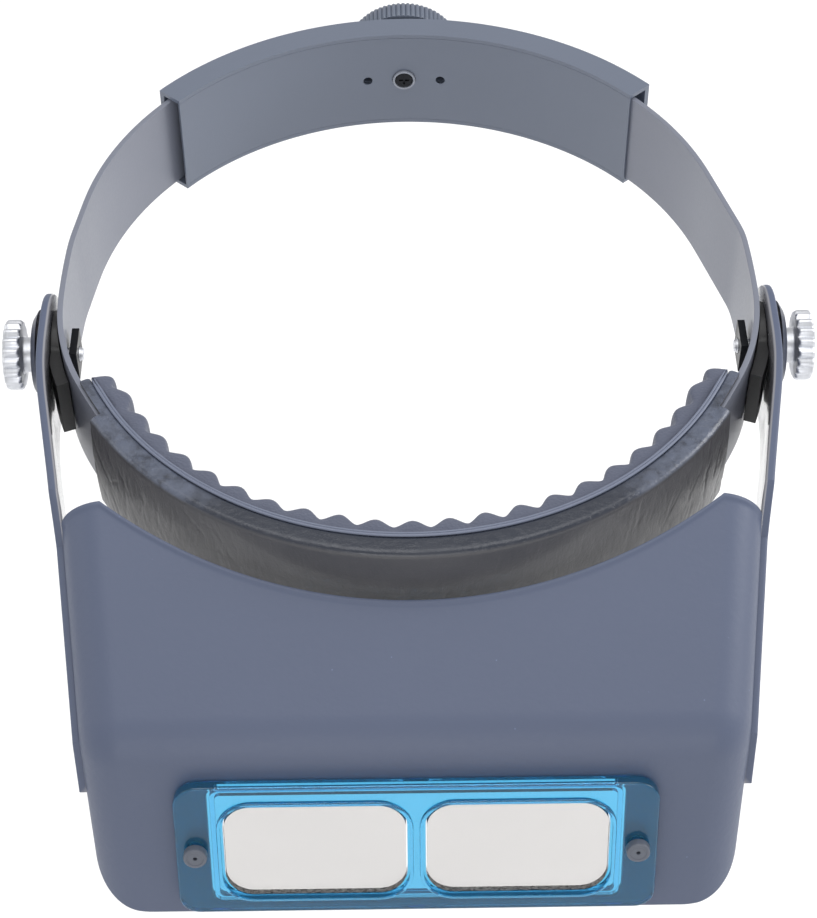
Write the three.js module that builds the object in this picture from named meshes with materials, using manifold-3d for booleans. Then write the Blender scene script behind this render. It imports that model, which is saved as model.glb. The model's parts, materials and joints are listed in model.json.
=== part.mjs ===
// Head visor magnifier: a padded headband with a geared size adjuster at the back, and a tilting
// visor hood on two clamped pivots that carries a removable twin-lens plate.
// Millimetres, +Z up. The visor faces -Y and X runs across the head. The origin is midway between
// the two tilt pivots, on their common axis.
import * as THREE from "three";
import { mergeVertices } from "three/addons/utils/BufferGeometryUtils.js";
import Module from "manifold-3d";

const wasm = await Module();
wasm.setup();

const rad = THREE.MathUtils.degToRad;

// ---- driving dimensions ---------------------------------------------------------------------
const gap = 0.3; // between pieces that touch
const runGap = 0.15; // radial play of a turning or sliding round piece

// headband strap, seen from above
const bandHalfWidth = 93; // widest point of the strap's middle line
const bandFrontReach = 82.5; // pivot axis to the front of the strap's middle line
const frontTurn = 62; // degrees that the round front turns before it straightens
const frontRadiusLess = 1.2; // the round front's radius is this much under the half width
const cheekLength = 8; // straight stretch between the front and the side
const templeRadius = 290; // gentle curve from the widest point back to the temple
const templeY = 29; // where the two tails begin, and centre of the rear arc
const strapThickness = 1.5;
const strapHeight = 30;

// rear size adjuster
const sizeTravel = 12.5; // the housing slides this far each way
const layerPlay = 1; // between the two tails where they lie over each other
const outerTailInset = 0.9; // temple point to the outer tail's radius
const swingShift = 0.42; // rear arcs are set back by half of what swinging the tails shifts them
const tailPastSlot = 6.5;
const gearModule = 1.5;
const pinionTeeth = 8;
const rackToothWidth = 1.45; // at the pitch line
const toothRoot = 0.4; // a rack tooth starts this far inside the strap
const pinionToothWidth = 1.3;
const housingWall = 1.3;
const housingOuterWall = 1.6;
const housingHalfAngle = 49;
const housingPlay = 0.55; // inside the housing, on each side of the tails
const housingEndPlay = 1.2; // outside the outer tail, room for its swing
const capWall = 1.2; // top and bottom walls of the housing
const postRadius = 2.4;
const postPastPinion = 1.325; // between the pinion's teeth and a post
const slotPastPost = 1.6; // room left in the slot at either end of the travel
const postHoleRadius = 1.4;
const hubRadius = 3.4;
const knobRadius = 17.3;
const knobThickness = 8;
const knobRibs = 72;
const knobRibDepth = 0.55;
const knobChamfer = 2;
const knobWasherThickness = 0.6;
const knobPastWasher = 8.3;
const screwHeadRadius = 2.5;
const screwHeadHeight = 1.1;
const crossWidth = 0.6;
const screwRadius = 1.4;

// tilt pivots
const blockPastStrap = 1.15; // block's flat face past the strap at its widest
const blockRadius = 12;
const footReach = 20.5;
const footThickness = 3.4;
const footHalfHeight = 9;
const shankRadius = 2;
const nutSize = 10;
const nutThickness = 2;
const softWasherThickness = 0.9;
const softWasherRadius = 10.5;
const cupRadius = 12.2;
const cupDepth = 1.5;
const cupWall = 0.8;
const screwHubRadius = 4.75;
const screwHubLength = 2.9;
const thumbRadius = 9.5;
const thumbThickness = 4.6;
const thumbLobes = 18;
const thumbLobeDepth = 0.8;
const thumbDish = 0.6;
const thumbRim = 3.2; // flat ring round the dish

// visor hood
const hoodThickness = 2.3;
const armThickness = 2.4;
const armTop = 16;
const armBottom = -19;
const armToeStart = -18; // where the arms begin to close in
const armShoulderBack = 55; // from the bend line back to the arm's shoulder
const armShoulderIn = 8.65; // how far the arm has closed in at the shoulder
const sideSlope = 0.12; // closing in of the hood's sides past the shoulder
const sideStep = 1.6; // the arm stands proud of the hood's side by this
const foldRadius = 11; // rounded edge between top or front panel and side
const sideDepth = 3;
const topDepth = 31.7; // rim to the line where the top and front panels would meet
const bendZ = -11;
const bendRadius = 16;
const topSlope = 24.7; // degrees
const frontTilt = 15.9; // degrees, lower edge forward
const visorClearance = 3.7; // from the sweatband cover to the middle of the rim
const rimRadius = 137; // hollowed rear edge of the top panel
const rimShoulderDrop = 3;
const lowerCornerRadius = 14;

// lens plate
const windowWidth = 45;
const windowHeight = 28.5;
const windowCorner = 7;
const barWidth = 4.5; // between the two windows
const plateThickness = 3.4;
const plateTopCorner = 6;
const plateLowerCorner = 5;
const plateMarginAbove = 5.75;
const tabWidth = 8; // plate past the hood's window, on each side
const plateBelowBend = 10.6;
const hoodBelowPlate = 2.8;
const bezelWidth = 1.5;
const bezelHeight = 0.9;
const lensThickness = 3.4;
const hoodWindowPast = 3.75; // the hood's window is wider than the pair of windows, on each side
const hoodWindowTaller = 8;
const hoodWindowCorner = 3;
const rivetInset = 4.9; // from the plate's end
const rivetHeadRadius = 2.9;
const rivetHeadHeight = 2.6;
const rivetShankRadius = 1.5;
const rivetTail = 1.6; // past the back of the hood's panel

// soft pieces
const coverInner = 1.6; // faces of the cover's channel, from the strap's middle line
const coverWall = 1.5;
const coverHalfHeight = 16.4;
const coverPlay = 0.5; // over and under the strap
const coverEndY = -37.5; // the cover's outer layer ends here
const liningEndY = -26; // and its inner layer here
const foamTrough = 4.5; // foam thickness at a trough
const foamWave = 2.8; // crest over trough
const foamPitch = 10;
const foamHalfHeight = 15.2;
const foamEndY = -25;

// ---- materials --------------------------------------------------------------------------------
const paint = (color, roughness, metalness = 0, extra = {}) =>
  new THREE.MeshStandardMaterial({ color, roughness, metalness, ...extra });
const greyAbs = paint("#6d7487", 0.55);
const strapPlastic = paint("#8b8f9b", 0.45);
const blackNylon = paint("#1c1c20", 0.5);
const blackRubber = paint("#151517", 0.8);
const steel = paint("#8d9094", 0.35, 1);
const aluminium = paint("#cfd2d8", 0.35, 1);
const leatherette = paint("#4b4e57", 0.5);
const foam = paint("#5d6170", 0.9);
const blueAcrylic = paint("#3fa3cf", 0.1, 0, { transparent: true, opacity: 0.75 });
const clearAcrylic = paint("#e8eef0", 0.05, 0, { transparent: true, opacity: 0.35 });

// ---- solids -----------------------------------------------------------------------------------
const group = new THREE.Group();

/** A closed geometry as a solid that can be joined and cut. */
function solid(geometry) {
  const bare = geometry.index ? geometry.toNonIndexed() : geometry.clone();
  bare.deleteAttribute("normal");
  bare.deleteAttribute("uv");
  const merged = mergeVertices(bare, 1e-4);
  return new wasm.Manifold(
    new wasm.Mesh({
      numProp: 3,
      vertProperties: merged.attributes.position.array,
      triVerts: new Uint32Array(merged.index.array),
    }),
  );
}

/** The solid's faces as a geometry. */
function geometryOf(made) {
  const { numProp, numVert, vertProperties, triVerts } = made.getMesh();
  const points = new Float32Array(numVert * 3);
  for (let i = 0; i < numVert; i++) {
    points.set(vertProperties.subarray(i * numProp, i * numProp + 3), i * 3);
  }
  return new THREE.BufferGeometry()
    .setAttribute("position", new THREE.BufferAttribute(points, 3))
    .setIndex(new THREE.BufferAttribute(triVerts, 1));
}

function addPiece(name, made, material, parent = group) {
  const geometry = made.isBufferGeometry ? made : geometryOf(made);
  const mesh = new THREE.Mesh(geometry, material);
  mesh.name = name;
  parent.add(mesh);
  return mesh;
}

/** A flat outline thickened from z0 to z1. */
function extrude(shape, z0, z1, curveSegments = 12) {
  const options = { depth: z1 - z0, bevelEnabled: false, curveSegments };
  return new THREE.ExtrudeGeometry(shape, options).translate(0, 0, z0);
}

const fromPoints = (points) => new THREE.Shape(points.map(([x, y]) => new THREE.Vector2(x, y)));

/** A disc or bar of round section along Z, from z0 to z1. */
function rod(radius, z0, z1, sides = 32) {
  return new THREE.CylinderGeometry(radius, radius, z1 - z0, sides)
    .rotateX(Math.PI / 2)
    .translate(0, 0, (z0 + z1) / 2);
}

/** A profile of [radius, z] points turned about Z. A ring's profile closes on itself. */
function turned(profile, sides = 40) {
  const points = profile.map(([r, z]) => new THREE.Vector2(r, z));
  return new THREE.LatheGeometry(points, sides).rotateX(Math.PI / 2);
}

/** A flat ring along Z. */
function ring(inner, outer, z0, z1, sides = 40) {
  return turned([[inner, z0], [outer, z0], [outer, z1], [inner, z1], [inner, z0]], sides);
}

/** Turns a piece made along +Z so that it points along +X. */
const alongX = (geometry) => geometry.rotateY(Math.PI / 2);
/** Turns a piece made along +Z so that it points along +Y. */
const alongY = (geometry) => geometry.rotateX(-Math.PI / 2);

/** A rectangle with rounded corners, given the lower and upper corner radii. */
function roundedRect(width, height, lower, upper = lower) {
  const x = width / 2;
  const y = height / 2;
  const shape = new THREE.Shape();
  shape.moveTo(-x + lower, -y);
  shape.lineTo(x - lower, -y);
  shape.absarc(x - lower, -y + lower, lower, -Math.PI / 2, 0);
  shape.absarc(x - upper, y - upper, upper, 0, Math.PI / 2);
  shape.absarc(-x + upper, y - upper, upper, Math.PI / 2, Math.PI);
  shape.absarc(-x + lower, -y + lower, lower, Math.PI, Math.PI * 1.5);
  return shape;
}

// ---- the strap's middle line -------------------------------------------------------------------
// A line is a list of { x, y, a }: a point and its heading in radians from +X.

/** Adds an arc that turns left from the line's last point to the given heading. */
function turnTo(line, radius, heading, steps) {
  const { x, y, a } = line[line.length - 1];
  for (let i = 1; i <= steps; i++) {
    const b = a + ((heading - a) * i) / steps;
    line.push({
      x: x + radius * (Math.sin(b) - Math.sin(a)),
      y: y - radius * (Math.cos(b) - Math.cos(a)),
      a: b,
    });
  }
}

function goAhead(line, length) {
  const { x, y, a } = line[line.length - 1];
  line.push({ x: x + length * Math.cos(a), y: y + length * Math.sin(a), a });
}

/** Right half of the front: round front, straight cheek, side, and the way back to the temple. */
function frontHalf() {
  const line = [{ x: 0, y: -bandFrontReach, a: 0 }];
  turnTo(line, bandHalfWidth - frontRadiusLess, rad(frontTurn), 20);
  goAhead(line, cheekLength);
  const { x } = line[line.length - 1];
  const sideRadius = (bandHalfWidth - x) / (1 - Math.sin(rad(frontTurn)));
  turnTo(line, sideRadius, Math.PI / 2, 8);
  const widest = line[line.length - 1];
  const left = templeY - widest.y;
  turnTo(line, templeRadius, Math.PI / 2 + Math.asin(left / templeRadius), 4);
  return line;
}

const mirrored = (line) => line.map(({ x, y, a }) => ({ x: -x, y, a: -a })).reverse();
const frontRight = frontHalf();
const frontLine = [...mirrored(frontRight.slice(1)), ...frontRight];
const temple = frontRight[frontRight.length - 1];

/** The part of a line that a test keeps, with new end points where it cuts the given y. */
function cutAt(line, y) {
  const kept = line.filter((p) => p.y < y);
  const ends = [];
  for (let i = 1; i < line.length; i++) {
    const [p, q] = [line[i - 1], line[i]];
    if (p.y < y !== q.y < y) {
      const t = (y - p.y) / (q.y - p.y);
      ends.push({ x: p.x + t * (q.x - p.x), y, a: p.a + t * (q.a - p.a) });
    }
  }
  return [ends[0], ...kept, ends[1]];
}

/** X of the strap's middle line on the right, at a given y. */
function strapX(y) {
  const i = frontRight.findIndex((p) => p.y >= y);
  const [p, q] = [frontRight[i - 1], frontRight[i]];
  return p.x + ((y - p.y) / (q.y - p.y)) * (q.x - p.x);
}

/** A wall that follows a line from above: d is counted outwards, to the right of the heading. */
function wall(line, d0, d1, z0, z1) {
  const side = (d) => line.map(({ x, y, a }) => [x + d * Math.sin(a), y - d * Math.cos(a)]);
  return extrude(fromPoints([...side(d0), ...side(d1).reverse()].reverse()), z0, z1);
}

// ---- headband: strap, cover and foam ------------------------------------------------------------
const halfStrap = strapThickness / 2;
const halfHeight = strapHeight / 2;
const pivotStrapX = strapX(0);

function frontStrap() {
  const line = cutAt(frontLine, templeY - gap);
  const strap = solid(wall(line, -halfStrap, halfStrap, -halfHeight, halfHeight));
  const hole = alongX(rod(shankRadius + 2 * gap, -2 * bandHalfWidth, 2 * bandHalfWidth, 24));
  return strap.subtract(solid(hole));
}

/** A flat sleeve round the front of the strap, open at both ends. */
function sweatbandCover() {
  const face = coverInner + coverWall;
  const outer = cutAt(frontLine, coverEndY);
  const inner = cutAt(frontLine, liningEndY);
  const h = coverHalfHeight;
  const pastEnds = cutAt(frontLine, liningEndY + 5);
  const room = halfHeight + coverPlay;
  const channel = solid(wall(pastEnds, -coverInner, coverInner, -room, room));
  const front = solid(wall(outer, 0, face, -h, h));
  const back = solid(wall(inner, -face, 0, -h, h));
  return front.add(back).subtract(channel);
}

/** Foam pad with a rolling inner face: a cosine wave of whole pitches along the band. */
function foamPad() {
  const line = cutAt(frontLine, foamEndY);
  const lengths = [0];
  for (let i = 1; i < line.length; i++) {
    const step = Math.hypot(line[i].x - line[i - 1].x, line[i].y - line[i - 1].y);
    lengths.push(lengths[i - 1] + step);
  }
  const total = lengths[lengths.length - 1];
  const waves = Math.round(total / foamPitch);
  const steps = waves * 6;
  const back = coverInner + coverWall + gap;
  const inside = [];
  const outside = [];
  for (let k = 0; k <= steps; k++) {
    const s = (total * k) / steps;
    const i = Math.min(Math.max(lengths.findIndex((l) => l >= s), 1), line.length - 1);
    const t = (s - lengths[i - 1]) / (lengths[i] - lengths[i - 1]);
    const [p, q] = [line[i - 1], line[i]];
    const a = p.a + t * (q.a - p.a);
    const x = p.x + t * (q.x - p.x);
    const y = p.y + t * (q.y - p.y);
    const wave = (foamWave / 2) * (1 - Math.cos((2 * Math.PI * waves * k) / steps));
    const round = Math.sqrt(Math.min(1, Math.min(k, steps - k) / 6 + 0.15));
    const d = back + (foamTrough + wave) * round;
    inside.push([x - d * Math.sin(a), y + d * Math.cos(a)]);
    if (k % 4 === 0 || k === steps) outside.push([x - back * Math.sin(a), y + back * Math.cos(a)]);
  }
  return extrude(fromPoints([...inside, ...outside.reverse()].reverse()), -foamHalfHeight, foamHalfHeight);
}

addPiece("front_strap", frontStrap(), strapPlastic);
addPiece("sweatband_cover", sweatbandCover(), leatherette);
addPiece("foam_pad", foamPad(), foam);

// ---- rear adjuster: tails, racks, pinion, housing, knob ------------------------------------------
const outerTailRadius = temple.x - outerTailInset;
const innerTailRadius = outerTailRadius - strapThickness - layerPlay;
const middleTailRadius = (outerTailRadius + innerTailRadius) / 2;
const pitchRadius = (gearModule * pinionTeeth) / 2;
const toothPitch = Math.PI * gearModule;
const addendum = gearModule * 0.85;
const dedendum = gearModule * 1.25;
const flank = Math.tan(rad(20));
const slotEdge = pitchRadius + dedendum;
const postX = pitchRadius + addendum + postPastPinion + postRadius;
const slotHalfLength = postX + postRadius + sizeTravel + slotPastPost;
const tailOverlap = slotHalfLength + tailPastSlot;
const teethEachWay = Math.floor((slotHalfLength - toothPitch / 2) / toothPitch);

/** A line from the temple straight to the rear arc, and round it past the middle of the back. */
function tailLine(radius) {
  const start = temple.x + swingShift;
  const lead = Math.acos(radius / start);
  const end = Math.PI / 2 + tailOverlap / radius;
  const line = [{ x: start, y: templeY, a: Math.PI / 2 + lead }];
  const steps = 34;
  for (let i = 0; i <= steps; i++) {
    const b = lead + ((end - lead) * i) / steps;
    line.push({ x: radius * Math.cos(b), y: templeY + radius * Math.sin(b), a: b + Math.PI / 2 });
  }
  line[0].x -= gap * Math.sin(lead);
  line[0].y += gap * Math.cos(lead);
  return line;
}

/** An arc-shaped bar about the rear centre, between two angles in radians from +X. */
function rearArc(r0, r1, from, to, z0, z1, steps) {
  const at = (r, b) => [r * Math.cos(b), templeY + r * Math.sin(b)];
  const angles = Array.from({ length: steps + 1 }, (_, i) => from + ((to - from) * i) / steps);
  const points = [...angles.map((b) => at(r1, b)), ...angles.reverse().map((b) => at(r0, b))];
  return extrude(fromPoints(points), z0, z1);
}

/** One rack tooth, pointing down from the slot's edge, turned from the middle of the back. */
function rackTooth(radius, turn) {
  const root = slotEdge + toothRoot;
  const half = rackToothWidth / 2;
  const rootHalf = half + (dedendum + toothRoot) * flank;
  const tipHalf = half - addendum * flank;
  const tooth = fromPoints([
    [-rootHalf, -root],
    [rootHalf, -root],
    [tipHalf, addendum - pitchRadius],
    [-tipHalf, addendum - pitchRadius],
  ]);
  const r0 = radius - halfStrap;
  return alongY(extrude(tooth, r0, r0 + strapThickness)).rotateZ(turn).translate(0, templeY, 0);
}

/** The right-hand tail, with its rack along the slot's upper edge. */
function tail(radius) {
  const strip = solid(wall(tailLine(radius), -halfStrap, halfStrap, -halfHeight, halfHeight));
  const reach = slotHalfLength / radius;
  const middle = Math.PI / 2;
  const slot = rearArc(
    radius - 2, radius + 2, middle - reach, middle + reach, -slotEdge, slotEdge, 16,
  );
  let made = strip.subtract(solid(slot));
  for (let i = -teethEachWay; i < teethEachWay; i++) {
    const turn = ((i + 0.5) * toothPitch) / middleTailRadius;
    made = made.add(solid(rackTooth(radius, turn)));
  }
  return made.translate([-swingShift, 0, 0]);
}

/** Turns the faces of a mirrored geometry outwards again. */
function mirroredWinding(geometry) {
  const flat = geometry.index ? geometry.toNonIndexed() : geometry;
  const p = flat.attributes.position;
  const a = new THREE.Vector3();
  const b = new THREE.Vector3();
  for (let i = 0; i < p.count; i += 3) {
    a.fromBufferAttribute(p, i + 1);
    b.fromBufferAttribute(p, i + 2);
    p.setXYZ(i + 1, b.x, b.y, b.z);
    p.setXYZ(i + 2, a.x, a.y, a.z);
  }
  return flat;
}

addPiece("strap_tail_right", tail(innerTailRadius), strapPlastic);
const leftTail = addPiece("strap_tail_left", tail(outerTailRadius), strapPlastic);
leftTail.rotation.y = Math.PI; // the left tail is the same moulding turned over, rack downwards

const cavityInner = innerTailRadius - halfStrap - housingPlay;
const cavityOuter = outerTailRadius + halfStrap + housingEndPlay;
const housingInner = cavityInner - housingWall;
const housingOuter = cavityOuter + housingOuterWall;
const cavityHalf = halfHeight + 0.5;
const backY = (r) => templeY + r;

const housingFrom = rad(90 - housingHalfAngle);
const housingTo = rad(90 + housingHalfAngle);
const housingSteps = 28;

function housingOuterCover() {
  const h = cavityHalf + capWall;
  const arc = (r0, r1, a, z0, z1) =>
    solid(rearArc(r0, r1, housingFrom - a, housingTo + a, z0, z1, housingSteps));
  let cover = arc(housingInner, housingOuter, 0, -h, h);
  cover = cover.subtract(arc(housingInner - 5, cavityOuter, 0.05, -cavityHalf, cavityHalf));
  const nearEdge = postX - postRadius;
  const y0 = templeY + Math.sqrt(cavityInner ** 2 - nearEdge ** 2) + gap;
  for (const x of [-postX, postX]) {
    const post = alongY(rod(postRadius, y0, backY(cavityOuter) + 0.5, 24)).translate(x, 0, 0);
    const hole = alongY(rod(postHoleRadius, y0 - 1, y0 + 4, 16)).translate(x, 0, 0);
    cover = cover.add(solid(post)).subtract(solid(hole));
  }
  const bearing = alongY(rod(hubRadius + 1.2 + runGap, backY(cavityOuter) - 6, backY(housingOuter) + 2));
  return cover.subtract(solid(bearing));
}

function housingInnerCover() {
  const h = cavityHalf - gap;
  let cover = solid(
    rearArc(housingInner, cavityInner, housingFrom, housingTo, -h, h, housingSteps),
  );
  const through = (r, x) =>
    solid(alongY(rod(r, backY(housingInner) - 5, backY(cavityInner) + 5, 24)).translate(x, 0, 0));
  cover = cover.subtract(through(hubRadius + runGap, 0));
  for (const x of [-postX, postX]) {
    cover = cover.subtract(through(postHoleRadius, x));
  }
  return cover;
}

const pinionFrom = backY(cavityInner) + gap;
const pinionTo = templeY + Math.sqrt(cavityOuter ** 2 - (pitchRadius + addendum) ** 2) - gap;
const knobFrom = backY(housingOuter) + gap + knobWasherThickness + gap;
const hubShoulder = hubRadius + 1.2;

/** Pinion outline: a straight-sided tooth, repeated round the circle. */
function pinionOutline() {
  const points = [];
  const half = pinionToothWidth / 2;
  const root = pitchRadius - dedendum;
  const tip = pitchRadius + addendum;
  for (let i = 0; i < pinionTeeth; i++) {
    const turn = (2 * Math.PI * i) / pinionTeeth + Math.PI / 2;
    const corners = [
      [half + dedendum * flank, root],
      [half - addendum * flank, tip],
      [-half + addendum * flank, tip],
      [-half - dedendum * flank, root],
    ];
    for (const [w, r] of corners) {
      const b = turn - Math.atan2(w, r);
      const d = Math.hypot(w, r);
      points.push([d * Math.cos(b), d * Math.sin(b)]);
    }
  }
  return points;
}

function pinion() {
  let made = solid(alongY(extrude(fromPoints(pinionOutline()), pinionFrom, pinionTo)));
  const frontHub = alongY(rod(hubRadius, backY(housingInner), pinionFrom + 1));
  const backHub = alongY(rod(hubShoulder, pinionTo - 1, knobFrom + knobThickness * 0.45));
  made = made.add(solid(frontHub)).add(solid(backHub));
  const bore = alongY(rod(screwRadius + runGap, backY(housingInner) - 2, knobFrom + knobThickness));
  const seat = alongY(
    rod(screwHeadRadius + gap, backY(housingInner) - 2, backY(housingInner) + 1.6, 24),
  );
  return made.subtract(solid(bore)).subtract(solid(seat));
}

/** Countersunk-style screw from inside the band, through the pinion into the knob. */
function knobScrew() {
  const head = backY(housingInner) + 0.2;
  const tip = knobFrom + knobThickness * 0.8;
  const shaft = solid(alongY(rod(screwRadius, head + 0.5, tip, 20)));
  const cap = solid(alongY(rod(screwHeadRadius, head, head + screwHeadHeight, 24)));
  const arm = screwHeadRadius * 1.2;
  const cross = solid(new THREE.BoxGeometry(crossWidth, screwHeadHeight, arm).translate(0, head, 0))
    .add(solid(new THREE.BoxGeometry(arm, screwHeadHeight, crossWidth).translate(0, head, 0)));
  return shaft.add(cap).subtract(cross);
}

/** Ribbed round knob: a zigzag outline with a chamfered outer edge. */
function rearKnob() {
  const points = [];
  for (let i = 0; i < knobRibs * 2; i++) {
    const r = i % 2 ? knobRadius : knobRadius - knobRibDepth;
    const b = (Math.PI * i) / knobRibs;
    points.push([r * Math.cos(b), r * Math.sin(b)]);
  }
  const body = solid(alongY(extrude(fromPoints(points), knobFrom, knobFrom + knobThickness)));
  const cone = alongY(
    turned([
      [0, knobFrom - 2],
      [knobRadius + 1, knobFrom - 2],
      [knobRadius + 1, knobFrom + knobThickness - knobChamfer],
      [knobRadius - knobChamfer, knobFrom + knobThickness + 1],
      [0, knobFrom + knobThickness + 1],
    ]),
  );
  const socket = alongY(rod(hubShoulder + gap, knobFrom - 1, knobFrom + knobThickness * 0.5));
  const pilot = alongY(
    rod(screwRadius + runGap, knobFrom, knobFrom + knobThickness * 0.85, 20),
  );
  return body.intersect(solid(cone)).subtract(solid(socket)).subtract(solid(pilot));
}

addPiece("housing_outer_cover", housingOuterCover(), greyAbs);
addPiece("housing_inner_cover", housingInnerCover(), greyAbs);
addPiece("adjuster_pinion", pinion(), blackNylon);
addPiece("knob_screw", knobScrew(), steel);
addPiece("rear_knob", rearKnob(), greyAbs);
const washerFrom = backY(housingOuter) + gap;
addPiece(
  "knob_spring_washer",
  alongY(
    ring(hubShoulder + gap, knobRadius - knobPastWasher, washerFrom, washerFrom + knobWasherThickness),
  ),
  steel,
);

// ---- tilt pivots: everything on the X axis -------------------------------------------------------
const blockTo = bandHalfWidth + halfStrap + gap + blockPastStrap;
const armInner = blockTo + gap;
const armOuter = armInner + armThickness;
const softFrom = armOuter + gap;
const cupFrom = softFrom + softWasherThickness + gap;
const hubFrom = cupFrom + cupDepth + gap;
const thumbFrom = hubFrom + screwHubLength;
const strapByNut = Math.min(strapX(-nutSize / 2), strapX(nutSize / 2));
const nutFrom = strapByNut - halfStrap - gap - nutThickness;
const boreRadius = shankRadius + gap;
const rimCentreY = -(bandFrontReach + coverInner + coverWall + visorClearance);
const bendY = rimCentreY - topDepth;
const armShoulderY = bendY + armShoulderBack;

/** The arm's outer face from above: straight past the pivot, then closing in to the hood's side. */
function armLine() {
  const shoulderX = armOuter - armShoulderIn;
  return new THREE.Path()
    .moveTo(armOuter, 30)
    .lineTo(armOuter, armToeStart + 8)
    .quadraticCurveTo(armOuter, armToeStart, armOuter - 1.6, armToeStart - 9)
    .lineTo(shoulderX + 1.5, armShoulderY + 8)
    .quadraticCurveTo(shoulderX, armShoulderY, shoulderX - 8 * sideSlope, armShoulderY - 8)
    .lineTo(shoulderX - 64 * sideSlope, armShoulderY - 64)
    .getPoints(5);
}

/** Moulded block that fills the wedge between the curved strap and the flat arm, with a long foot. */
function pivotBlock() {
  const reach = solid(alongX(rod(blockRadius, pivotStrapX - 14, blockTo)));
  const face = halfStrap + gap;
  const near = frontRight.filter((p) => p.y > -footReach - 12 && p.y < blockRadius + 12);
  const outside = solid(wall(near, face, 30, -blockRadius - 1, blockRadius + 1));
  const footLine = near.filter((p) => p.y > -footReach && p.y < 2);
  const foot = wall(footLine, face, face + footThickness, -footHalfHeight, footHalfHeight);
  const armSide = armLine().map((p) => [p.x - armThickness - gap, p.y]);
  const [first, last] = [armSide[0], armSide[armSide.length - 1]];
  const clearOfArm = solid(extrude(fromPoints([...armSide, [0, last[1]], [0, first[1]]]), -30, 30));
  const made = reach.intersect(outside).add(solid(foot)).intersect(clearOfArm);
  return made.subtract(solid(alongX(rod(boreRadius, 0, 2 * bandHalfWidth, 24))));
}

function squareNut() {
  const nut = solid(
    new THREE.BoxGeometry(nutThickness, nutSize, nutSize).translate(nutFrom + nutThickness / 2, 0, 0),
  );
  return nut.subtract(solid(alongX(rod(shankRadius + runGap, 0, 2 * bandHalfWidth, 24))));
}

/** Dished washer: its rim turns towards the arm. */
function cupWasher() {
  const r0 = boreRadius;
  const r1 = cupRadius;
  return alongX(
    turned([
      [r0, cupFrom + cupDepth - cupWall],
      [r1 - 3.2, cupFrom + cupDepth - cupWall],
      [r1 - 1, cupFrom],
      [r1, cupFrom],
      [r1 - 2.4, cupFrom + cupDepth],
      [r0, cupFrom + cupDepth],
      [r0, cupFrom + cupDepth - cupWall],
    ], 36),
  );
}

/** Scalloped thumb knob on a round hub, with the plain core of its threaded shank. */
function thumbscrew() {
  const points = [];
  const perLobe = 4;
  for (let i = 0; i < thumbLobes * perLobe; i++) {
    const b = (2 * Math.PI * i) / (thumbLobes * perLobe);
    const r = thumbRadius - (thumbLobeDepth / 2) * (1 - Math.cos(thumbLobes * b));
    points.push([r * Math.cos(b), r * Math.sin(b)]);
  }
  const knob = solid(alongX(extrude(fromPoints(points), thumbFrom, thumbFrom + thumbThickness)));
  const hub = solid(alongX(rod(screwHubRadius, hubFrom, thumbFrom + 1, 28)));
  const shank = solid(alongX(rod(shankRadius, nutFrom - 1, hubFrom + 1, 20)));
  const face = thumbFrom + thumbThickness;
  const dish = solid(alongX(rod(thumbRadius - thumbRim, face - thumbDish, face + 1)));
  return knob.add(hub).add(shank).subtract(dish);
}

for (const [side, mirror] of [["right", 1], ["left", -1]]) {
  const pieces = [
    ["pivot_block", pivotBlock(), blackNylon],
    ["square_nut", squareNut(), steel],
    ["soft_washer", alongX(ring(boreRadius, softWasherRadius, softFrom, softFrom + softWasherThickness)),
      blackRubber],
    ["cup_washer", cupWasher(), greyAbs],
    ["thumbscrew", thumbscrew(), aluminium],
  ];
  for (const [name, made, material] of pieces) {
    addPiece(`${name}_${side}`, made, material).scale.x = mirror;
  }
}

// ---- visor hood ----------------------------------------------------------------------------------
const plateHeight = windowHeight + 2 * plateMarginAbove;
const plateDrop = plateBelowBend + plateHeight / 2; // bend to plate centre, along the front panel
const frontLength = plateDrop + plateHeight / 2 + hoodBelowPlate;
const windowSpacing = windowWidth + barWidth;
const hoodWindowWidth = windowSpacing + windowWidth + 2 * hoodWindowPast;
const hoodWindowHeight = windowHeight + hoodWindowTaller;
const plateWidth = hoodWindowWidth + 2 * tabWidth;
const rivetSpacing = plateWidth - 2 * rivetInset;
const tilt = rad(frontTilt);
const slope = rad(topSlope);
const topAlong = [-Math.cos(slope), -Math.sin(slope)]; // headings in (y, z)
const frontAlong = [-Math.sin(tilt), -Math.cos(tilt)];
const bendTurn = Math.PI / 2 - tilt - slope;
const bendCut = bendRadius * Math.tan(bendTurn / 2);
const sideX = (y) => armOuter - armShoulderIn - sideStep + sideSlope * (y - armShoulderY);
const rimY = (x) => rimCentreY + rimRadius - Math.sqrt(rimRadius ** 2 - x ** 2);

/** Profile point and outward normal in (y, z); s is counted from the sharp bend, forwards. */
function profile(s) {
  if (s <= -bendCut) {
    return { y: bendY + s * topAlong[0], z: bendZ + s * topAlong[1], n: [topAlong[1], -topAlong[0]] };
  }
  if (s >= bendCut) {
    return {
      y: bendY + s * frontAlong[0],
      z: bendZ + s * frontAlong[1],
      n: [frontAlong[1], -frontAlong[0]],
    };
  }
  const start = profile(-bendCut);
  const centre = [start.y - bendRadius * start.n[0], start.z - bendRadius * start.n[1]];
  const turn = (bendTurn * (s + bendCut)) / (2 * bendCut);
  const angle = Math.atan2(start.n[1], start.n[0]) + turn;
  const n = [Math.cos(angle), Math.sin(angle)];
  return { y: centre[0] + bendRadius * n[0], z: centre[1] + bendRadius * n[1], n };
}

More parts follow.
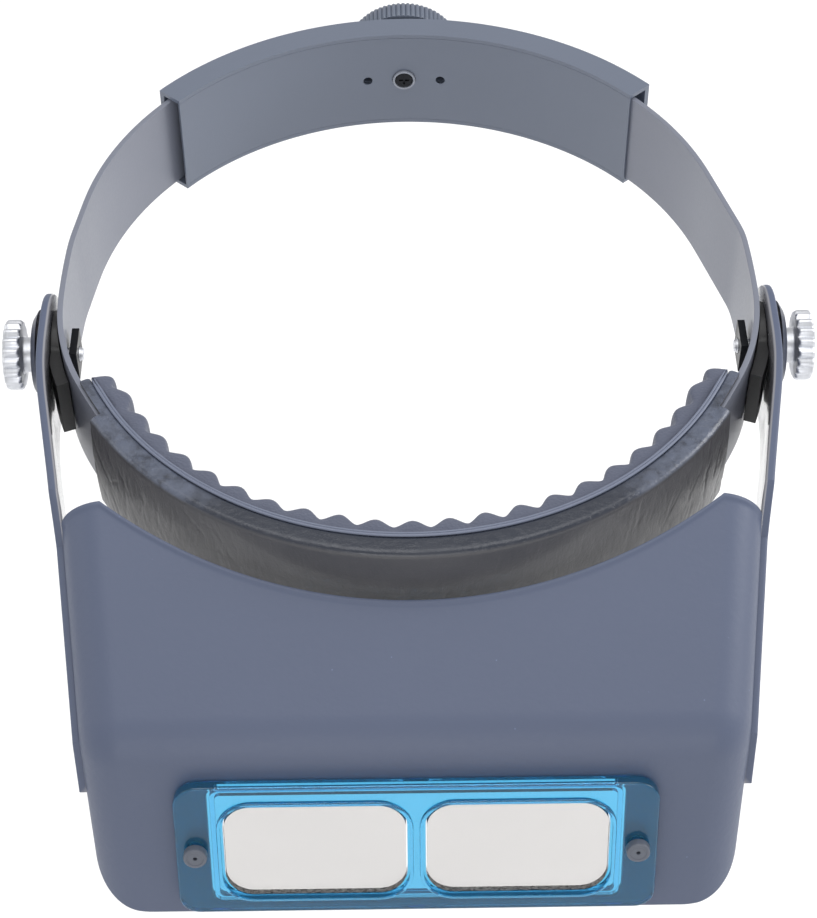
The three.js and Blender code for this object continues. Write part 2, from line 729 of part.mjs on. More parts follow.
/** A point of the hood's outer skin, or of a skin the given depth under it.
    across is 0 to 1 over the flat, 1 to 2 round the fold, and past 2 down the side. */
function hoodPoint(across, s, depth) {
  const side = Math.sign(across);
  const c = Math.abs(across);
  const { y, z, n } = profile(s);
  const core = [y - foldRadius * n[0], z - foldRadius * n[1]];
  const k = Math.hypot(1, sideSlope);
  const outward = [1 / k, -sideSlope / k, 0];
  const edge = sideX(core[0]) - foldRadius * k;
  const up = [0, n[0], n[1]];
  const reach = foldRadius - depth;
  if (c <= 1) {
    return [side * c * edge, core[0] + reach * n[0], core[1] + reach * n[1]];
  }
  const open = Math.acos(outward[1] * up[1]);
  const t = Math.min(c - 1, 1);
  const mix = up.map(
    (u, i) => (Math.sin((1 - t) * open) * u + Math.sin(t * open) * outward[i]) / Math.sin(open),
  );
  const down = Math.max(c - 2, 0) * sideDepth;
  const x = edge + reach * mix[0];
  return [side * x, core[0] + reach * mix[1] - down * n[0], core[1] + reach * mix[2] - down * n[1]];
}

/** Where a column starts at the hollowed rear edge and ends at the lower edge. */
function hoodEnds(across) {
  const c = Math.abs(across);
  const shoulder = c > 1 ? rimShoulderDrop * (1 - Math.cos((Math.min(c - 1, 1) * Math.PI) / 2)) : 0;
  let from = (rimCentreY - bendY) / topAlong[0];
  for (let i = 0; i < 5; i++) {
    const x = Math.abs(hoodPoint(Math.min(c, 1), from, 0)[0]);
    from = (rimY(x) - bendY) / topAlong[0];
  }
  from += shoulder;
  const [x] = hoodPoint(c, frontLength - 1, 0);
  const half = hoodPoint(2, frontLength - 1, 0)[0];
  const past = Math.min(Math.max(x - (half - lowerCornerRadius), 0), lowerCornerRadius);
  const to = frontLength - lowerCornerRadius + Math.sqrt(lowerCornerRadius ** 2 - past ** 2);
  return [from, to];
}

/** The folded sheet: a grid across and along, outer and inner skins joined all round. */
function hoodShell() {
  const half = [];
  const flats = 12;
  const folds = 6;
  for (let i = 1; i <= flats; i++) half.push(i / flats);
  for (let i = 1; i <= folds; i++) half.push(1 + i / folds);
  half.push(3);
  const columns = [...half.map((c) => -c).reverse(), 0, ...half];
  const topRows = [0, 0.5, 1];
  const bendRows = [-0.6, -0.2, 0.2, 0.6].map((t) => t * bendCut);
  const frontRows = [0, 0.35, 0.7, 1];
  const points = [];
  const rows = topRows.length + bendRows.length + frontRows.length;
  for (const depth of [0, hoodThickness]) {
    for (const c of columns) {
      const [from, to] = hoodEnds(c);
      const stations = [
        ...topRows.map((t) => from + t * (-bendCut - from)),
        ...bendRows,
        ...frontRows.map((t) => bendCut + t * (to - bendCut)),
      ];
      for (const s of stations) points.push(...hoodPoint(c, s, depth));
    }
  }
  const skin = columns.length * rows;
  const index = [];
  const quad = (a, b, c, d) => index.push(a, b, c, a, c, d);
  for (let i = 0; i < columns.length - 1; i++) {
    for (let j = 0; j < rows - 1; j++) {
      const a = i * rows + j;
      quad(a, a + 1, a + rows + 1, a + rows);
      quad(a + skin, a + rows + skin, a + rows + 1 + skin, a + 1 + skin);
    }
    const first = i * rows;
    const last = first + rows - 1;
    quad(first, first + rows, first + rows + skin, first + skin);
    quad(last, last + skin, last + rows + skin, last + rows);
  }
  for (let j = 0; j < rows - 1; j++) {
    const end = (columns.length - 1) * rows + j;
    quad(j, j + skin, j + 1 + skin, j + 1);
    quad(end, end + 1, end + 1 + skin, end + skin);
  }
  return new THREE.BufferGeometry()
    .setAttribute("position", new THREE.Float32BufferAttribute(points, 3))
    .setIndex(index);
}

/** One flat arm that runs from the pivot along the outside of the hood's side. */
function arm() {
  const line = armLine();
  const shifted = line.map((p) => [p.x - armThickness, p.y]);
  const plan = fromPoints([...line.map((p) => [p.x, p.y]), ...shifted.reverse()].reverse());
  const strip = solid(extrude(plan, -60, 40));
  const endRadius = (armTop - armBottom) / 2;
  const middle = (armTop + armBottom) / 2;
  const under = foldRadius + 0.5; // the arm's edge runs this far below the folded edge
  const along = (y) => bendZ + ((y - bendY) * topAlong[1]) / topAlong[0] - under;
  const side = new THREE.Shape()
    .moveTo(armShoulderY + 4, armTop - 1)
    .lineTo(0, armTop)
    .absarc(0, middle, endRadius, Math.PI / 2, -Math.PI / 2, true)
    .lineTo(armShoulderY + 10, armBottom)
    .lineTo(bendY + 8, bendZ - 24)
    .lineTo(bendY + 2, bendZ - 22)
    .lineTo(bendY + 7, along(bendY + 8))
    .lineTo(armShoulderY - 3, along(armShoulderY - 3));
  const outline = alongX(extrude(side, 0, 200, 16).rotateZ(Math.PI / 2));
  return strip.intersect(solid(outline));
}

const panel = new THREE.Group(); // lies on the outside of the front panel, x across, y up, z out
const plateCentre = profile(plateDrop);
panel.position.set(0, plateCentre.y, plateCentre.z);
panel.rotation.x = Math.PI / 2 - tilt;
panel.updateMatrixWorld(true);
group.add(panel);

function visorHood() {
  const inPanel = (geometry) => solid(geometry.applyMatrix4(panel.matrixWorld));
  let hood = solid(hoodShell());
  const right = arm();
  const left = solid(mirroredWinding(geometryOf(right).scale(-1, 1, 1)));
  hood = hood.add(right).add(left);
  const sight = roundedRect(hoodWindowWidth, hoodWindowHeight, hoodWindowCorner);
  hood = hood.subtract(inPanel(extrude(sight, -8, 5)));
  for (const side of [-1, 1]) {
    const hole = rod(rivetShankRadius + gap, -8, 5, 20).translate((side * rivetSpacing) / 2, 0, 0);
    hood = hood.subtract(inPanel(hole));
  }
  const pivotHole = alongX(rod(boreRadius, -2 * bandHalfWidth, 2 * bandHalfWidth, 24));
  return hood.subtract(solid(pivotHole));
}

addPiece("visor_hood", visorHood(), greyAbs);

// ---- lens plate ------------------------------------------------------------------------------------
function lensFrame() {
  const outline = roundedRect(plateWidth, plateHeight, plateLowerCorner, plateTopCorner);
  let frame = solid(extrude(outline, gap, gap + plateThickness, 5));
  for (const side of [-1, 1]) {
    const x = (side * windowSpacing) / 2;
    const around = roundedRect(
      windowWidth + 2 * bezelWidth, windowHeight + 2 * bezelWidth, windowCorner + bezelWidth,
    );
    const top = gap + plateThickness;
    const bezel = extrude(around, top - 0.5, top + bezelHeight, 5).translate(x, 0, 0);
    const opening = roundedRect(windowWidth, windowHeight, windowCorner);
    frame = frame.add(solid(bezel));
    frame = frame.subtract(solid(extrude(opening, -2, 12, 5).translate(x, 0, 0)));
    const hole = rod(rivetShankRadius + gap, -2, 12, 20).translate((side * rivetSpacing) / 2, 0, 0);
    frame = frame.subtract(solid(hole));
  }
  return frame;
}

/** Push-in rivet: domed head with a small centre hole, and a shank through plate and hood. */
function snapRivet() {
  const seat = gap + plateThickness + gap;
  const tip = -hoodThickness - rivetTail;
  return turned([
    [0, tip],
    [rivetShankRadius - 0.5, tip],
    [rivetShankRadius, tip + 0.8],
    [rivetShankRadius, seat],
    [rivetHeadRadius, seat],
    [rivetHeadRadius, seat + rivetHeadHeight - 0.5],
    [rivetHeadRadius - 0.5, seat + rivetHeadHeight],
    [0.5, seat + rivetHeadHeight],
    [0.5, seat + rivetHeadHeight - 1.4],
    [0, seat + rivetHeadHeight - 1.4],
  ], 24);
}

const lens = extrude(
  roundedRect(windowWidth - 2 * gap, windowHeight - 2 * gap, windowCorner - gap),
  gap,
  gap + lensThickness,
  5,
);
addPiece("lens_frame", lensFrame(), blueAcrylic, panel);
for (const [side, sign] of [["left", -1], ["right", 1]]) {
  addPiece(`lens_${side}`, lens, clearAcrylic, panel).position.x = (sign * windowSpacing) / 2;
  addPiece(`snap_rivet_${side}`, snapRivet(), greyAbs, panel).position.x = (sign * rivetSpacing) / 2;
}

export default group;
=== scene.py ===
"""Head visor magnifier: a padded headband, a tilting visor hood and a blue lens plate."""
import json
import math

import bmesh
import bpy
import numpy as np
from mathutils import Matrix, Vector


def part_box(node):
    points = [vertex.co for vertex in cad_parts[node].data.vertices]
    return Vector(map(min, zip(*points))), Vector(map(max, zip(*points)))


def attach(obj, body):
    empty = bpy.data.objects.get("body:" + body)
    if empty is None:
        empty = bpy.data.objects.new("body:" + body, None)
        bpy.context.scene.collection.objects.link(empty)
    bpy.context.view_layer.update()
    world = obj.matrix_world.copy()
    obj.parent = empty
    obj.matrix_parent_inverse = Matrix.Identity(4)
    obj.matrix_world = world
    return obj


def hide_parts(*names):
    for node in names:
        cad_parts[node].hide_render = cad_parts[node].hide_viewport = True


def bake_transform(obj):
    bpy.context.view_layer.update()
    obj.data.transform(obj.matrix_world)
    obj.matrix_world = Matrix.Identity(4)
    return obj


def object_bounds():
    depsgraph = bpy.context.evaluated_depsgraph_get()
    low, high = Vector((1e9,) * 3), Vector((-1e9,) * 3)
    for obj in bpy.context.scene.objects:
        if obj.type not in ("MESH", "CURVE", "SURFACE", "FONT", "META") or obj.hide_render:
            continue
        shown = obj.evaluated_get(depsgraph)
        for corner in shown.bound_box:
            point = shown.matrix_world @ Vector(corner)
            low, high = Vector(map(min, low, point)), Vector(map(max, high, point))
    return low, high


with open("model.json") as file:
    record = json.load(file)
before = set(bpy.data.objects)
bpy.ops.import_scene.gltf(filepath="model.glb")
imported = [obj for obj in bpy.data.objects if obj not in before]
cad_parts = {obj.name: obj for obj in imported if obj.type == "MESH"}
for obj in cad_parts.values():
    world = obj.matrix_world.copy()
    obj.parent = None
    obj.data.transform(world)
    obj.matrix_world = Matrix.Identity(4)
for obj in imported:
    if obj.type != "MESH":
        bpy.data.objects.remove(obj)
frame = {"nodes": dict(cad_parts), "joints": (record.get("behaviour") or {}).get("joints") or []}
cad_low, cad_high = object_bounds()
mm = 0.001

# ---- Camera and studio -------------------------------------------------------------------------
# A long lens looks down on the visor's front at 48 degrees. The floor and the surroundings are
# plain and pale, with one large soft light overhead, one from each side and a weak one in front.
camera_elevation = math.radians(48.0)
camera_azimuth = math.radians(-0.39)
camera_roll = math.radians(-0.456)
camera_distance = 622.8 * mm
camera_offset = (-0.34 * mm, -29.55 * mm)  # to its own right and up
focal_pixels = 2300.0
frame_long_side = 918

camera_back = Vector((
    math.sin(camera_azimuth) * math.cos(camera_elevation),
    -math.cos(camera_azimuth) * math.cos(camera_elevation),
    math.sin(camera_elevation),
))
level_right = Vector((math.cos(camera_azimuth), math.sin(camera_azimuth), 0.0))
level_up = camera_back.cross(level_right)
rolled_right = level_right * math.cos(camera_roll) + level_up * math.sin(camera_roll)
rolled_up = level_up * math.cos(camera_roll) - level_right * math.sin(camera_roll)
camera_place = camera_back * camera_distance + level_right * camera_offset[0] + level_up * camera_offset[1]

camera = bpy.data.objects.new("camera", bpy.data.cameras.new("camera"))
camera.data.sensor_width = 36.0
camera.data.lens = camera.data.sensor_width * focal_pixels / frame_long_side
camera.data.clip_start = 0.01
camera.data.clip_end = 20.0
camera.matrix_world = Matrix((
    (rolled_right.x, rolled_up.x, camera_back.x, camera_place.x),
    (rolled_right.y, rolled_up.y, camera_back.y, camera_place.y),
    (rolled_right.z, rolled_up.z, camera_back.z, camera_place.z),
    (0, 0, 0, 1),
))
bpy.context.scene.collection.objects.link(camera)
bpy.context.scene.camera = camera
bpy.context.scene.view_settings.view_transform = "Standard"


def linear(colour):
    """An sRGB hex colour as linear RGBA: each channel through the inverse of the sRGB curve."""
    channels = [int(colour[i:i + 2], 16) / 255 for i in (1, 3, 5)]
    return [c / 12.92 if c <= 0.04045 else ((c + 0.055) / 1.055) ** 2.4 for c in channels] + [1.0]


def add(tree, kind, settings=None, **sockets):
    """Adds one node. Settings are its own properties; a socket is a value or (node, output name)."""
    made = tree.nodes.new(kind)
    for key, value in (settings or {}).items():
        setattr(made, key, value)
    for key, value in sockets.items():
        name = key.replace("_", " ")
        socket = made.inputs[int(key[1:])] if key[0] == "n" and key[1:].isdigit() else made.inputs[name]
        if isinstance(value, tuple) and isinstance(value[0], bpy.types.Node):
            tree.links.new(value[0].outputs[value[1]], socket)
        else:
            socket.default_value = value
    return made


def new_material(name):
    """An empty node material with its output node."""
    made = bpy.data.materials.new(name)
    made.use_nodes = True
    made.node_tree.nodes.clear()
    return made, made.node_tree, made.node_tree.nodes.new("ShaderNodeOutputMaterial")


def soft_light(name, place, aim, width, watts):
    """A square area light that looks from its place towards a point."""
    data = bpy.data.lights.new(name, "AREA")
    data.size = width
    data.energy = watts
    made = bpy.data.objects.new(name, data)
    direction = Vector(aim) - Vector(place)
    made.matrix_world = Matrix.Translation(place) @ direction.to_track_quat("-Z", "Y").to_matrix().to_4x4()
    bpy.context.scene.collection.objects.link(made)


floor_drop = 0.16
floor_half = 6.0
floor_z = cad_low.z - floor_drop
floor_mesh = bpy.data.meshes.new("floor")
corners = [(-floor_half, -floor_half), (floor_half, -floor_half), (floor_half, floor_half),
           (-floor_half, floor_half)]
floor_mesh.from_pydata([(x, y, floor_z) for x, y in corners], [], [(0, 1, 2, 3)])
floor = bpy.data.objects.new("floor", floor_mesh)
bpy.context.scene.collection.objects.link(floor)
# Paper: matt and nearly white, with a faint cloudy tone.
floor_paint, tree, out = new_material("pale_matt_paper")
paper_place = add(tree, "ShaderNodeTexCoord")
paper_grain = add(tree, "ShaderNodeTexNoise", Vector=(paper_place, "Object"), Scale=40.0, Detail=2.0)
paper_tone = add(tree, "ShaderNodeMapRange", Value=(paper_grain, "Fac"), To_Min=0.96, To_Max=0.98)
paper = add(tree, "ShaderNodeBsdfPrincipled", Base_Color=(paper_tone, "Result"), Roughness=0.95)
tree.links.new(paper.outputs["BSDF"], out.inputs["Surface"])
floor_mesh.materials.append(floor_paint)

world = bpy.data.worlds.new("studio")
world.use_nodes = True
background = world.node_tree.nodes["Background"]
background.inputs["Color"].default_value = (1.0, 1.0, 1.0, 1.0)
background.inputs["Strength"].default_value = 0.68
bpy.context.scene.world = world
soft_light("overhead_light", (0.0, 0.1, 1.3), (0, -0.02, 0), 1.1, 7.0)
soft_light("left_light", (-1.1, 0.2, 0.55), (0, 0, 0), 0.7, 1.7)
soft_light("right_light", (1.1, 0.2, 0.55), (0, 0, 0), 0.7, 7.2)
soft_light("front_light", (0.0, -1.2, 0.35), (0, -0.05, 0), 0.6, 2.7)

# ---- Headband strap ----------------------------------------------------------------------------
# One flat strip of grey polypropylene sheet, 1.5 mm thick, bent round the head. Each tail has a
# punched slot with a rack along one edge: the upper on the right tail, the lower on the left one.
joint_place = {j["name"]: Vector(j.get("pos_m") or (0, 0, 0)) for j in frame["joints"]}
temple = joint_place["tail_right_swing"]
strap_low, strap_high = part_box("front_strap")
strap_thickness = 1.5 * mm
strap_half = strap_thickness / 2
strap_top = strap_high.z
band_half_width = strap_high.x - strap_half
band_front = -strap_low.y - strap_half
front_turn = math.radians(62)
front_radius = band_half_width - 1.2 * mm
cheek_length = 8 * mm
temple_radius = 290 * mm
inner_tail_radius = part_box("strap_tail_right")[1].y - temple.y - strap_half
outer_tail_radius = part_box("strap_tail_left")[1].y - temple.y - strap_half
middle_tail_radius = (inner_tail_radius + outer_tail_radius) / 2
swing_shift = 0.42 * mm  # the rear arcs' centres lie this far past the middle


def turn_to(line, radius, heading, steps):
    """Adds an arc: from the last point the line turns left on a radius until it has the heading."""
    x, y, a = line[-1]
    b = a + (heading - a) * np.arange(1, steps + 1) / steps
    arc = np.column_stack((x + radius * (np.sin(b) - np.sin(a)), y - radius * (np.cos(b) - np.cos(a)), b))
    return np.vstack((line, arc))


def front_line():
    """Right half of the strap's middle line: round front, straight cheek, side, gentle way back."""
    line = turn_to(np.array([[0.0, -band_front, 0.0]]), front_radius, front_turn, 60)
    x, y, a = line[-1]
    line = np.vstack((line, [x + cheek_length * math.cos(a), y + cheek_length * math.sin(a), a]))
    side_radius = (band_half_width - line[-1, 0]) / (1 - math.sin(front_turn))
    line = turn_to(line, side_radius, math.pi / 2, 30)
    last_turn = math.asin((temple.y - line[-1, 1]) / temple_radius)
    return turn_to(line, temple_radius, math.pi / 2 + last_turn, 10)


def tail_line(radius, overlap):
    """From the temple straight to the rear arc, then round it past the middle of the back."""
    lead = math.acos(radius / (temple.x + swing_shift))
    b = np.linspace(lead, math.pi / 2 + overlap / radius, 150)
    return np.column_stack((radius * np.cos(b) - swing_shift, temple.y + radius * np.sin(b),
                            b + math.pi / 2))


def resampled(line, step):
    """The line with even spacing, its headings made smooth by a running mean over 12 mm."""
    lengths = np.concatenate(([0], np.cumsum(np.hypot(*np.diff(line[:, :2], axis=0).T))))
    s = np.linspace(0, lengths[-1], int(round(lengths[-1] / step)) + 1)
    x, y = np.interp(s, lengths, line[:, 0]), np.interp(s, lengths, line[:, 1])
    window = max(3, int(round(6 * mm / step)) * 2 + 1)
    kernel = np.hanning(window + 2)[1:-1]
    kernel /= kernel.sum()
    padded = [np.pad(v, window // 2, mode="reflect", reflect_type="odd") for v in (x, y)]
    x, y = (np.convolve(v, kernel, mode="valid") for v in padded)
    a = np.unwrap(np.arctan2(np.gradient(y), np.gradient(x)))
    return np.column_stack((x, y, a)), s


def new_piece(name, points, faces, material, body=None, smooth_angle=35):
    """Puts vertices and faces into a mesh object, smooth except at edges sharper than the angle."""
    mesh = bpy.data.meshes.new(name)
    mesh.from_pydata(np.asarray(points, float).reshape(-1, 3).tolist(), [], faces)
    mesh.validate()
    made = bpy.data.objects.new(name, mesh)
    bpy.context.scene.collection.objects.link(made)
    mesh.polygons.foreach_set("use_smooth", np.ones(len(mesh.polygons), bool))
    mesh.set_sharp_from_angle(angle=math.radians(smooth_angle))
    if material:
        mesh.materials.append(material)
    if body:
        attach(made, body)
    return made


def grid_faces(rows, columns, wrap_columns=False, flip=False):
    """Quads between neighbouring points of a grid that is stored row by row."""
    i, j = np.meshgrid(np.arange(rows - 1), np.arange(columns - (not wrap_columns)), indexing="ij")
    i1, j1 = i + 1, (j + 1) % columns
    quads = np.stack((i * columns + j, i1 * columns + j, i1 * columns + j1, i * columns + j1),
                     -1).reshape(-1, 4)
    return (quads[:, ::-1] if flip else quads).tolist()


def tube_faces(rows, columns):
    """Faces of a closed tube: a grid that wraps round, and one flat face over each end."""
    first = list(range(columns))[::-1]
    return grid_faces(rows, columns,
                      wrap_columns=True) + [first, [(rows - 1) * columns + k for k in range(columns)]]


def tidy_mesh(made, merge):
    """Merges points that meet, and makes the faces of the closed shell point outwards."""
    bm = bmesh.new()
    bm.from_mesh(made.data)
    bmesh.ops.remove_doubles(bm, verts=bm.verts, dist=merge)
    bmesh.ops.recalc_face_normals(bm, faces=bm.faces)
    bm.to_mesh(made.data)
    bm.free()


def apply_modifiers(made, smooth_angle=35):
    """Replaces the mesh by what its modifiers make of it, and marks its sharp edges again."""
    evaluated = made.evaluated_get(bpy.context.evaluated_depsgraph_get())
    mesh = bpy.data.meshes.new_from_object(evaluated)
    made.modifiers.clear()
    made.data = mesh
    mesh.polygons.foreach_set("use_smooth", np.ones(len(mesh.polygons), bool))
    mesh.set_sharp_from_angle(angle=math.radians(smooth_angle))


def bevelled(made, width, segments=2, angle=40):
    """Rounds every edge sharper than the angle, and keeps the flat faces looking flat."""
    modifier = made.modifiers.new("edge", "BEVEL")
    modifier.width = width
    modifier.segments = segments
    modifier.limit_method = "ANGLE"
    modifier.angle_limit = math.radians(angle)
    modifier.harden_normals = False
    apply_modifiers(made, 60)
    made.modifiers.new("flat_faces", "WEIGHTED_NORMAL").keep_sharp = True


def outward(line, d, z):
    """Points at d to the right of the line's heading, which is away from the head, at height z."""
    x, y, a = line.T
    return np.stack(np.broadcast_arrays(x + d * np.sin(a), y - d * np.cos(a), z), -1)


def moulded_plastic(name, colour, roughness, grain_mm, depth, gloss=0.5, tone=0.06, fleck=0.0):
    """Injection-moulded plastic: a fine pebbled grain, and a cloudy tone that varies by a few percent."""
    made, tree, out = new_material(name)
    place = add(tree, "ShaderNodeTexCoord")
    cloud = add(tree, "ShaderNodeTexNoise", Vector=(place, "Object"), Scale=28.0, Detail=3.0,
                Roughness=0.55)
    grain = add(tree, "ShaderNodeTexNoise", Vector=(place, "Object"), Scale=1000.0 / grain_mm, Detail=2.0)
    base = linear(colour)
    dark = [c * (1 - tone) for c in base[:3]] + [1.0]
    light = [min(1.0, c * (1 + tone)) for c in base[:3]] + [1.0]
    hue = add(tree, "ShaderNodeMix", {"data_type": "RGBA"}, n0=(cloud, "Fac"), n6=dark, n7=light)
    colour_out = (hue, 2)
    if fleck:
        dust = add(tree, "ShaderNodeTexVoronoi", Vector=(place, "Object"), Scale=130.0)
        speck = add(tree, "ShaderNodeMapRange", Value=(dust, "Distance"), From_Min=0.018, From_Max=0.03,
                    To_Min=fleck, To_Max=0.0)
        pale = [min(1.0, c * 2.2) for c in base[:3]] + [1.0]
        dusty = add(tree, "ShaderNodeMix", {"data_type": "RGBA"}, n0=(speck, "Result"), n6=colour_out,
                    n7=pale)
        colour_out = (dusty, 2)
    rough = add(tree, "ShaderNodeMapRange", Value=(grain, "Fac"), To_Min=roughness - 0.06,
                To_Max=roughness + 0.06)
    bump = add(tree, "ShaderNodeBump", Height=(grain, "Fac"), Strength=depth, Distance=0.1 * mm)
    shader = add(tree, "ShaderNodeBsdfPrincipled", Base_Color=colour_out, Roughness=(rough, "Result"),
                 IOR=1.53, Specular_IOR_Level=gloss, Normal=(bump, "Normal"))
    tree.links.new(shader.outputs["BSDF"], out.inputs["Surface"])
    return made


# Polypropylene sheet: satin, a little glossier than the mouldings.
strap_plastic = moulded_plastic("satin_polypropylene_sheet", "#737784", 0.36, 0.9, 0.12, gloss=0.6)
gear_module = 1.5 * mm
pinion_teeth = 8
pitch_radius = gear_module * pinion_teeth / 2
tooth_pitch = math.pi * gear_module
slot_edge = pitch_radius + 1.25 * gear_module
slot_half_length = 27.5 * mm


def rack_edge(s):
    """Height of the toothed edge at a distance s along the tails' middle radius: straight-sided
    teeth, one pitch apart."""
    from_tooth = np.abs((s / tooth_pitch) % 1.0 - 0.5) * tooth_pitch
    half_tooth = 0.68 * mm
    across = (half_tooth - from_tooth) / math.tan(math.radians(20))
    height = pitch_radius - np.clip(across, -1.25 * gear_module, 0.85 * gear_module)
    return np.where(np.abs(s) < slot_half_length - 0.8 * mm, height, slot_edge)


def strap_side(name, radius, sign, rack_up):
    """One side of the strap as a sheet: a strip below and a strip above its middle, apart at the slot.
    Along each strip the free edge is a function of the distance s from the middle of the back."""
    overlap = 33.8 * mm
    whole = np.vstack((front_line(), tail_line(radius, overlap)))
    line, lengths = resampled(whole, 0.35 * mm)
    line, lengths = line[1:], lengths[1:]
    back = lengths[-1] - overlap - lengths  # distance from the middle of the back, towards the front
    in_slot = np.abs(back) < slot_half_length
    toothed = np.where(in_slot, rack_edge(back * middle_tail_radius / radius), 0.0)
    plain = np.where(in_slot, slot_edge, 0.0)
    upper_edge, lower_edge = (toothed, plain) if rack_up else (plain, toothed)
    share = np.linspace(0, 1, 5)[:, None]
    upper = upper_edge + (strap_top - upper_edge) * share
    lower = -(lower_edge + (strap_top - lower_edge) * share)
    points = np.vstack((outward(line, 0.0, upper).reshape(-1, 3), outward(line, 0.0, lower).reshape(-1, 3)))
    points[:, 0] *= sign
    count = share.size * len(line)
    faces = grid_faces(share.size, len(line))
    faces = faces + [[k + count for k in reversed(f)] for f in faces]
    made = new_piece(name, points, faces, strap_plastic)
    tidy_mesh(made, 1e-6)
    sheet = made.modifiers.new("thickness", "SOLIDIFY")
    sheet.thickness = strap_thickness
    sheet.offset = 0.0
    apply_modifiers(made)
    bevelled(made, 0.3 * mm, 2, 50)
    return made


strap_right = strap_side("strap_right", inner_tail_radius, 1, True)
strap_left = strap_side("strap_left", outer_tail_radius, -1, False)
for piece, body, node in ((strap_right, "tail_right", "strap_tail_right"),
                          (strap_left, "tail_left", "strap_tail_left")):
    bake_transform(piece)
    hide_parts(node)
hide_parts("front_strap")

# ---- Sweatband cover ---------------------------------------------------------------------------
# A flat sleeve of thin grey leatherette over a soft lining, pulled over the front of the strap.
# Its front is creased across, its top edge is a smooth glossy band, and its inner layer is longer.
front_half = front_line()
front_whole = np.vstack((front_half[:0:-1] * np.array([-1, 1, -1]), front_half))
band_line, band_lengths = resampled(front_whole, 0.4 * mm)
band_middle = band_lengths[-1] / 2


def cut_at(line, lengths, y):
    """The part of the band's line in front of a given y."""
    kept = line[:, 1] < y
    return line[kept], lengths[kept] - band_middle


def creases(s, z, count, seed, length_mm, slant):
    """Sum of many short, thin furrows: each is a Gaussian valley across s that fades out over z.
    Their places, slants, widths and depths are drawn from one seeded generator."""
    rng = np.random.default_rng(seed)
    depth = np.zeros(np.broadcast(s, z).shape)
    for _ in range(count):
        s0 = rng.uniform(s.min(), s.max())
        z0 = rng.uniform(-14, 14) * mm
        lean = rng.normal(0, slant)
        width = rng.uniform(0.25, 0.6) * mm
        reach = rng.uniform(0.5, 1.3) * length_mm * mm
        strength = rng.uniform(0.3, 1.0)
        near = np.abs(s[:, 0] - s0) < 8 * mm
        across = s[near] - s0 - lean * (z - z0)
        depth[near] += strength * np.exp(-(across / width) ** 2 - ((z - z0) / reach) ** 2)
    return depth


def sleeve_loop(face, half_height, corner, steps):
    """Half of a cross-section, from the middle of the bottom up the outer face to the middle of
    the top: points (d, z) of a rounded rectangle, evenly spaced along its outline."""
    turns = np.linspace(0, math.pi / 2, 9)
    d = np.concatenate(([0], face - corner + corner * np.sin(turns), face - corner + corner * np.cos(turns),
                        [0]))
    z = np.concatenate(([-half_height], -half_height + corner - corner * np.cos(turns),
                        half_height - corner + corner * np.sin(turns), [half_height]))
    along = np.concatenate(([0], np.cumsum(np.hypot(np.diff(d), np.diff(z)))))
    at = np.linspace(0, along[-1], steps)
    return np.interp(at, along, d), np.interp(at, along, z)


def sleeve(name, line, s, sign, face, half_height, corner, inner_face, inner_half, steps, shape, material):
    """A half sleeve, outside (sign 1) or inside (sign -1) of the strap: outer skin and inner skin
    of the same cross-section, joined along their edges and at both ends."""
    d, z = sleeve_loop(face, half_height, corner, steps)
    di, zi = sleeve_loop(inner_face, inner_half, 0.2 * mm, steps)
    push = shape(s[:, None], z[None, :])
    outer = outward_grid(line, sign * (d[None, :] + push * (d[None, :] > 0.2 * mm)), z[None, :])
    inner = outward_grid(line, sign * np.broadcast_to(di[None, :], push.shape), zi[None, :])
    skin = np.concatenate((outer, inner[:, ::-1]), axis=1)
    rows, columns = skin.shape[:2]
    faces = grid_faces(rows, columns, wrap_columns=True, flip=sign < 0)
    cap = lambda k: [[k * columns + j, k * columns + j + 1, k * columns + columns - 2 - j,
                      k * columns + columns - 1 - j]
                     for j in range(steps - 1)]
    faces += cap(0) + [f[::-1] for f in cap(rows - 1)]
    made = new_piece(name, skin, faces, material, None, 60)
    tidy_mesh(made, 1e-7)
    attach(made, "band")
    return made


def outward_grid(line, d, z):
    """Grid of points: one row for each place on the line, d outwards from it, at height z."""
    x, y, a = (v[:, None] for v in line.T)
    return np.stack(np.broadcast_arrays(x + d * np.sin(a), y - d * np.cos(a), z), -1)


